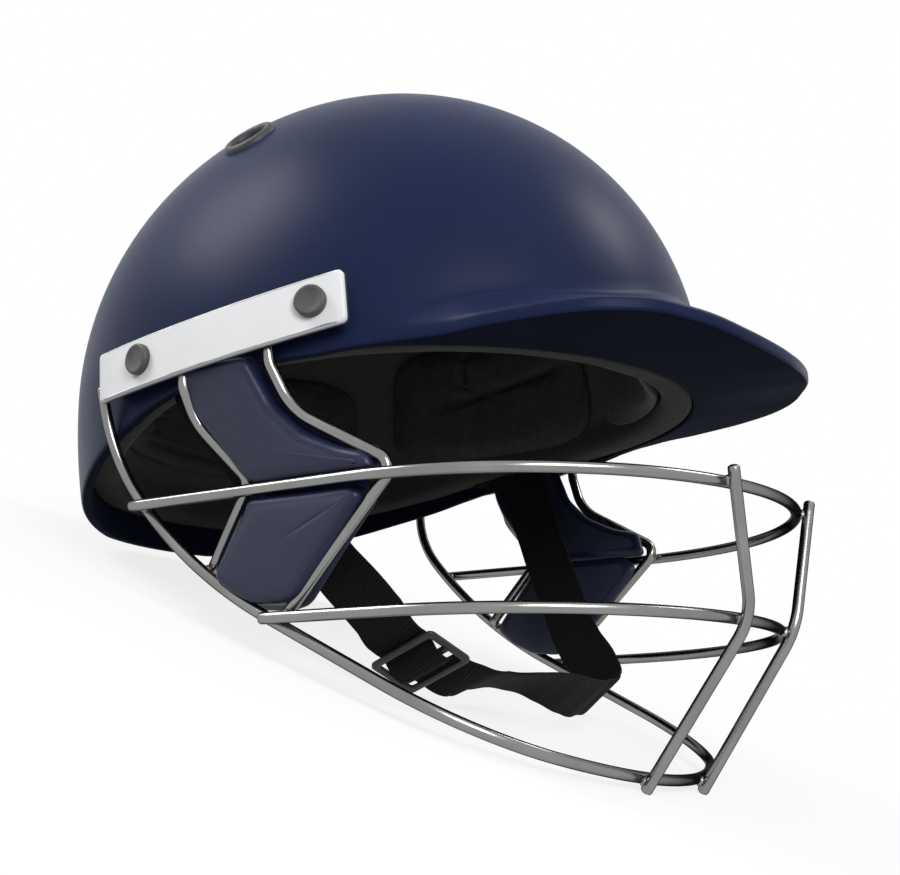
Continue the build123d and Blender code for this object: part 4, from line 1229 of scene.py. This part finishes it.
# Outlines of the cheek pads in the planes that they lie in
UPPER_PAD = [(41.0, 22.0), (11.0, 22.0), (2.0, 4.0), (-8.5, -6.0), (-22.0, -12.6), (-33.0, -15.4),
             (-35.4, -21.6), (14.0, -21.6), (18.5, -17.2), (25.0, -8.0), (32.6, 2.0), (37.0, 10.0)]
LOWER_PAD = [(15.2, 17.6), (-27.0, 17.6), (-31.0, 14.2), (-3.6, -17.0), (3.0, -18.4), (14.6, -17.4),
             (24.4, -12.8), (31.0, -7.4), (24.0, 3.0), (16.8, 13.0)]
# Rings of a cheek pad: inset, level and share of the way to the middle
PAD_BACK = [(1.4, -5.6, q) for q in (0.0, 0.2, 0.4, 0.6, 0.8, 0.93)]
PAD_EDGE = [(1.4, -5.6, 1.0), (0.2, -5.5, 1.0), (-0.9, -5.1, 1.0), (-1.6, -4.5, 1.0), (-1.9, -3.8, 1.0),
            (-1.7, -3.2, 1.0), (-0.9, -2.5, 1.0), (-0.1, -1.8, 1.0), (0.0, 0.0, 1.0),
            (0.05, 1.2, 1.0), (0.25, 2.2, 1.0), (0.6, 3.05, 1.0), (1.05, 3.65, 1.0), (1.6, 4.05, 1.0),
            (2.2, 4.22, 1.0), (2.7, 4.2, 1.0), (3.1, 4.16, 1.0), (3.6, 4.24, 1.0), (4.4, 4.42, 1.0)]
PAD_FACE = [(4.4, 4.44 + 0.4 * (1 - q * q), q) for q in (0.94, 0.84, 0.72, 0.58, 0.44, 0.3, 0.15, 0.0)]
PAD_RINGS = PAD_BACK + PAD_EDGE + PAD_FACE
# Part, outline, origin and lean of its plane, and the middle of the outline
CHEEK_PADS = [
    ("upper", UPPER_PAD, (104.6, 0.0, -14.0), 13.4, (9.0, -9.0)),
    ("lower", LOWER_PAD, (98.8, 0.0, -57.0), 5.4, (4.0, 1.0)),
]


def cheek_pad(part, outline, origin, lean, centre, side):
    """Cheek pad: rings of its outline from the middle of the back round the edge to the middle of
    the face. Behind the middle hoop each pad reaches a little further to the other. The first UV
    coordinate is the inset from the outline, by which the face is painted greyer than the rolled
    edge as a painted sheen."""
    rings = []
    spot = np.array(centre)
    for inset, level, share in PAD_RINGS:
        behind = np.clip((1.5 - level) / 3, 0, 1)
        flat = drawn_in(outline, inset, max(3.4 - 0.4 * abs(inset), 1.4))
        if part == "upper":
            flat[:, 1] -= 0.9 * behind * np.clip((-15.0 - flat[:, 1]) / 5, 0, 1)
        else:
            flat[:, 1] += 1.0 * behind * np.clip((flat[:, 1] - 11.0) / 5, 0, 1)
        flat = spot + (flat - spot) * share
        rings.append(np.concatenate([flat, np.full((len(flat), 1), level)], 1))
    points = on_plane(np.stack(rings), origin, lean, side)
    uv = np.zeros(points.shape[:2] + (2,))
    uv[..., 0] = np.array([inset if share == 1 else 9 for inset, level, share in PAD_RINGS])[:, None]
    mesh = grid(part, worn(points), around=True, start_pole=True, end_pole=True, uv=uv)
    outward_faces(mesh)
    return mesh


class HELMET_OT_cheek_pads(bpy.types.Operator):
    """Cheek pads: foam under a stitched cover, with a rolled edge and a welt groove"""

    bl_idname = "helmet.cheek_pads"
    bl_label = "Cheek pads"

    def execute(self, context):
        material = coated_cover(settings()[1])
        for name, side in SIDES.items():
            for part, *form in CHEEK_PADS:
                obj = piece(f"{part}_cheek_cover_{name}", [cheek_pad(part, *form, side)], "helmet", material,
                            [f"{part}_cheek_pad_{name}"])
                swell(obj, 0.5)
        return {"FINISHED"}


# Middle line of the strap, and the roll of its face under the chin in degrees
STRAP_NEAR = [(-100.3, 45.0, 13.0), (-100.1, 42.9, 5.6), (-98.5, 40.0, -3.2), (-93.4, 33.6, -14.0),
              (-82.0, 16.6, -38.0), (-75.0, -1.5, -61.0), (-70.8, -15.5, -77.0)]
STRAP_CHIN = [(-39.97, -30.5, -97.2), (-27.96, -33.2, -96.6), (-10.05, -37.6, -96.0), (7.97, -40.4, -97.4),
              (25.99, -39.8, -99.4), (42.04, -38.2, -98.8), (54.05, -36.8, -95.4), (59.95, -32.0, -87.5)]
STRAP_ROLL = [23.0, 14.0, 13.0, 26.0, 36.0, 40.0, 38.0, 33.0]
STRAP_FAR = [(64.6, -22.1, -76.0), (72.0, -11.0, -58.0), (83.0, 2.6, -36.0), (92.8, 14.6, -15.5),
             (97.6, 22.0, -3.4), (99.8, 30.0, 6.0), STRAP_ANCHOR]
STRAP_HALF = 10.0
STRAP_THICK_HALF = 0.7
BUCKLE = np.array([-58.564, -24.65, -92.2])
BUCKLE_ALONG = unit((0.895, -0.212, -0.388))
BUCKLE_HALF = 10.6
BUCKLE_WIDE = 13.8
BUCKLE_THICK = 1.8
STRAP_DIP = 2.5


def buckle_axes():
    """Directions along, across and through the buckle; through points away from the jaw."""
    across = np.array([-0.057, -0.925, 0.373])
    across = unit(across - BUCKLE_ALONG * np.dot(across, BUCKLE_ALONG))
    through = unit(np.cross(across, BUCKLE_ALONG))
    if through[0] > 0:
        through = -through
    return BUCKLE_ALONG, across, through


def strap_lines():
    """Middle line of the strap and the direction across it, at the same stations."""
    along, across, through = buckle_axes()
    weave = [(-1.06, -1.0), (-0.76, -0.96), (-0.47, 0.0), (-0.2, 0.95), (0.0, 1.05), (0.2, 0.95),
             (0.47, 0.0), (0.76, -0.96), (1.06, -1.0)]
    inside = [BUCKLE + along * (q * BUCKLE_HALF) + through * (d * STRAP_DIP) for q, d in weave]
    near, chin, far = np.array(STRAP_NEAR), np.array(STRAP_CHIN), np.array(STRAP_FAR)
    hints = []
    for i in range(len(near)):
        s = i / len(near)
        hints.append(np.array([0, -1.0, 0]) * (1 - s) + np.array([0, -0.87, 0.49]) * s)
    hints += [across] * len(weave)
    hints += [np.array([0, -cos(radians(roll)), sin(radians(roll))]) for roll in STRAP_ROLL]
    for i in range(len(far)):
        s = (i + 1) / len(far)
        hints.append(np.array([0, -0.87, 0.49]) * (1 - s) + np.array([0, -1.0, 0]) * s)
    return np.concatenate([near, np.array(inside), chin, far]), unit(np.array(hints))


class HELMET_OT_chin_strap(bpy.types.Operator):
    """Chin strap: one length of ribbed webbing woven through the buckle, with an eyelet tab at
    each end"""

    bl_idname = "helmet.chin_strap"
    bl_label = "Chin strap"

    def execute(self, context):
        sizes, colours = settings()
        material = ribbed_webbing(sizes, colours)
        line, hint = strap_lines()
        both = spline(np.concatenate([line, hint], 1), 520)
        path, hint = both[:, :3], both[:, 3:]
        along = unit(np.gradient(path, axis=0))
        across = unit(hint - along * np.sum(hint * along, axis=1, keepdims=True))
        through = np.cross(along, across)
        run = distances(path)
        t = np.linspace(0, 2 * np.pi, 48, endpoint=False)
        wide = 1.02 * STRAP_HALF * np.sign(np.cos(t)) * np.abs(np.cos(t)) ** 0.35
        wide = np.clip(wide, -STRAP_HALF, STRAP_HALF)
        deep = STRAP_THICK_HALF * np.sign(np.sin(t)) * np.abs(np.sin(t)) ** 0.5
        points = path[:, None] + across[:, None] * wide[:, None] + through[:, None] * deep[:, None]
        ends = np.concatenate([np.repeat(path[:1], 48, 0)[None], points, np.repeat(path[-1:], 48, 0)[None]])
        uv = np.zeros(ends.shape[:2] + (2,))
        uv[..., 0] = wide
        uv[..., 1] = np.concatenate([[0], run, [run[-1]]])[:, None]
        strap = grid("strap", worn(ends), around=True, start_pole=True, end_pole=True, uv=uv)
        outward_faces(strap)
        meshes = [strap]
        for side in SIDES.values():
            rows = [(2.25, -0.95), (2.25, 0.95), (10.2, 0.95), (10.6, 0.6), (10.6, -0.6), (10.2, -0.95)]
            flip = np.array([side, 1.0, 1.0])
            meshes.append(turned_part("tab", rows, STRAP_ANCHOR * flip, (1.0, 0.0, 0.0), 64, closed=True))
        for mesh in meshes[1:]:
            mesh.uv_layers.new(name="UVMap")
        piece("chin_strap_webbing", meshes, "chin_strap", material, ["chin_strap"])
        return {"FINISHED"}


class HELMET_OT_buckle(bpy.types.Operator):
    """Buckle: a bevelled three-bar slide with cut corners"""

    bl_idname = "helmet.buckle"
    bl_label = "Buckle"

    def execute(self, context):
        material = moulded_grey("Moulded acetal buckle", settings()[1].buckle, roughness=0.42, grain_mm=0.5)
        along, across, through = buckle_axes()

        def place(flat):
            return (BUCKLE + across * flat[..., 0, None] + along * flat[..., 1, None]
                    + through * flat[..., 2, None])

        w, h, t = BUCKLE_WIDE, BUCKLE_HALF, BUCKLE_THICK / 2
        side_wide, end_wide, bar_half, bevel = 2.7, 2.5, 1.4, 0.45
        count = 160
        outer = rounded_outline([(-w, -h), (w, -h), (w, h), (-w, h)], 2.6, count)
        a, b = w - side_wide, h - end_wide
        inner = rounded_outline([(-a, -b), (a, -b), (a, b), (-a, b)], 1.0, count)
        rows = []
        for mix, level in ((0, -t + bevel), (0, t - bevel), (0.12, t - 0.1), (0.25, t), (0.75, t),
                           (0.88, t - 0.1), (1, t - bevel), (1, -t + bevel), (0.88, -t + 0.1), (0.75, -t),
                           (0.25, -t), (0.12, -t + 0.1)):
            flat = outer * (1 - mix) + inner * mix
            rows.append(np.concatenate([flat, np.full((count, 1), level)], 1))
        ring = grid("frame", worn(place(np.stack(rows))), around=True, along=True)
        outward_faces(ring)
        a, b = w - bar_half, bar_half
        bar = rounded_outline([(-a, -b), (a, -b), (a, b), (-a, b)], 0.5, 96)
        rings = [(0, -t, 0.0), (0.5, -t, 1.0), (0.0, -t + 0.5, 1.0), (0.0, t - 0.5, 1.0), (0.5, t, 1.0),
                 (0, t, 0.0)]
        middle = slab("bar", bar, (0, 0), rings, place)
        piece("buckle_slide", [ring, middle], "chin_strap", material, ["buckle"])
        return {"FINISHED"}


class HELMET_OT_fixings(bpy.types.Operator):
    """Rivets and tee nuts: the CAD solids in zinc plated steel"""

    bl_idname = "helmet.fixings"
    bl_label = "Rivets and nuts"

    def execute(self, context):
        zinc = steel("Zinc plated steel", "9c9d9e", roughness=0.38)
        for name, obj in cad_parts.items():
            if "_nut_" in name or "rivet" in name:
                dress(obj, zinc)
        return {"FINISHED"}


class HELMET_OT_stage(bpy.types.Operator):
    """Stage: white floor that keeps the shadow, soft lamps and the camera"""

    bl_idname = "helmet.stage"
    bl_label = "Stage"

    def execute(self, context):
        scene = bpy.context.scene
        scene.view_settings.view_transform = "Standard"
        add_floor()
        add_world(scene)
        for spec in LAMPS:
            add_lamp(*spec)
        add_camera(scene)
        return {"FINISHED"}


def camera_or_mirror(tree):
    """1 for the camera and in reflections, and 0 for the rays that light the scene."""
    light = node(tree, "ShaderNodeLightPath")
    total = light.outputs["Is Camera Ray"]
    for name in ("Is Glossy Ray", "Is Transmission Ray"):
        larger = node(tree, "ShaderNodeMath", {0: total, 1: light.outputs[name]}, operation="MAXIMUM")
        total = larger.outputs[0]
    return total


def add_floor():
    """Level disc under the helmet: white to the camera, with the shadow kept near the middle
    and fading out with distance."""
    r = np.array([0.0, 0.2, 0.4, 0.8, 1.6, 3.2])[:, None]
    a = np.linspace(0, 2 * np.pi, 96, endpoint=False)[None]
    below_table = -0.0006
    points = np.stack([r * np.cos(a), r * np.sin(a), np.full((len(r), a.size), below_table)], -1)
    obj = placed("floor", grid("floor", points, around=True, start_pole=True))
    material = bpy.data.materials.new("Matt white paper")
    material.use_nodes = True
    tree = material.node_tree
    tree.nodes.clear()
    at = node(tree, "ShaderNodeTexCoord").outputs["Object"]
    far = node(tree, "ShaderNodeVectorMath", {0: at}, operation="LENGTH").outputs["Value"]
    keep = spread(tree, far, 0.14, 0.5, 0.2, 0.0)
    paper = node(tree, "ShaderNodeBsdfDiffuse", {"Color": linear("f2f2f2")})
    bounce = node(tree, "ShaderNodeBsdfDiffuse", {"Color": linear("8a8a8a")})
    glow = node(tree, "ShaderNodeEmission", {"Color": (1, 1, 1, 1), "Strength": 1.0})
    seen = node(tree, "ShaderNodeMixShader", {0: keep, 1: glow.outputs[0], 2: paper.outputs[0]})
    mix = node(tree, "ShaderNodeMixShader",
               {0: camera_or_mirror(tree), 1: bounce.outputs[0], 2: seen.outputs[0]})
    node(tree, "ShaderNodeOutputMaterial", {"Surface": mix.outputs[0]})
    obj.data.materials.append(material)


def add_world(scene):
    """White to the camera and in reflections, and a soft even fill otherwise."""
    world = bpy.data.worlds.new("Studio")
    scene.world = world
    world.use_nodes = True
    tree = world.node_tree
    tree.nodes.clear()
    fill = node(tree, "ShaderNodeBackground", {"Color": linear("e8edf5"), "Strength": 0.35})
    white = node(tree, "ShaderNodeBackground", {"Color": (1, 1, 1, 1), "Strength": 1.0})
    mix = node(tree, "ShaderNodeMixShader",
               {0: camera_or_mirror(tree), 1: fill.outputs[0], 2: white.outputs[0]})
    node(tree, "ShaderNodeOutputWorld", {"Surface": mix.outputs[0]})


# Name, place in metres, aim point, width and height in metres, power in watts
LAMPS = [
    ("key", (-0.9, -0.85, 1.0), (0.0, -0.02, 0.10), 0.7, 0.7, 17.0),
    ("rear", (-0.65, 1.1, 0.8), (0.0, 0.0, 0.12), 0.7, 0.7, 15.0),
    ("side", (0.6, -0.3, 1.3), (0.0, 0.0, 0.12), 0.4, 0.4, 5.0),
]


def aim(place, target):
    """Turn that points -Z from one place to another."""
    back = unit(np.asarray(place, float) - np.asarray(target, float))
    side = unit(np.cross(UP, back))
    over = np.cross(back, side)
    return Matrix(np.column_stack([side, over, back]).tolist()).to_4x4()


def add_lamp(name, place, target, width, height, power):
    """Soft box at a place, aimed at a point of the helmet."""
    lamp = bpy.data.lights.new(name, "AREA")
    lamp.shape = "RECTANGLE"
    lamp.size, lamp.size_y, lamp.energy = width, height, power
    placed(name, lamp).matrix_world = Matrix.Translation(place) @ aim(place, target)


def add_camera(scene):
    """Camera where the photograph was taken from, given on the helmet as worn and brought to the
    table with it, so that it is rolled by about a fifth of a right angle."""
    place = worn((-483.195, -298.821, -134.923))
    origin = worn((0.0, 0.0, 0.0))
    right = worn((0.52598, -0.85050, 0.0)) - origin
    up = worn((-0.19651, -0.12155, 0.97294)) - origin
    right, up = unit(right), unit(up)
    back = np.cross(right, up)
    camera = bpy.data.cameras.new("Camera")
    camera.sensor_fit = "HORIZONTAL"
    camera.sensor_width = 36.0
    camera.lens = 60.0
    camera.clip_start = 0.01
    obj = placed("Camera", camera)
    turn = Matrix(np.column_stack([right, up, back]).tolist()).to_4x4()
    obj.matrix_world = Matrix.Translation(place.tolist()) @ turn
    scene.camera = obj


class HELMET_PT_panel(bpy.types.Panel):
    """The helmet's sizes, colours and pieces"""

    bl_idname = "HELMET_PT_panel"
    bl_label = "Helmet"
    bl_space_type = "VIEW_3D"
    bl_region_type = "UI"
    bl_category = "Helmet"

    def draw(self, context):
        for group in settings():
            for key in group.bl_rna.properties.keys():
                if key not in ("rna_type", "name"):
                    self.layout.prop(group, key)
        for operator in OPERATORS:
            self.layout.operator(operator.bl_idname)


OPERATORS = [
    HELMET_OT_shell,
    HELMET_OT_liner,
    HELMET_OT_comfort_pads,
    HELMET_OT_crown_pad,
    HELMET_OT_grommets,
    HELMET_OT_side_plates,
    HELMET_OT_screws,
    HELMET_OT_face_guard,
    HELMET_OT_cheek_pads,
    HELMET_OT_chin_strap,
    HELMET_OT_buckle,
    HELMET_OT_fixings,
    HELMET_OT_stage,
]
CLASSES = [HelmetSizes, HelmetColours, *OPERATORS, HELMET_PT_panel]


def register():
    """Adds the classes, and the two groups of settings on the scene."""
    for item in CLASSES:
        bpy.utils.register_class(item)
    bpy.types.Scene.helmet_sizes = PointerProperty(type=HelmetSizes)
    bpy.types.Scene.helmet_colours = PointerProperty(type=HelmetColours)


def unregister():
    """Takes them off again."""
    del bpy.types.Scene.helmet_colours
    del bpy.types.Scene.helmet_sizes
    for item in reversed(CLASSES):
        bpy.utils.unregister_class(item)


def main():
    """Builds every piece and the stage."""
    register()
    for operator in OPERATORS:
        group, name = operator.bl_idname.split(".")
        getattr(getattr(bpy.ops, group), name)()


if __name__ == "__main__":
    main()
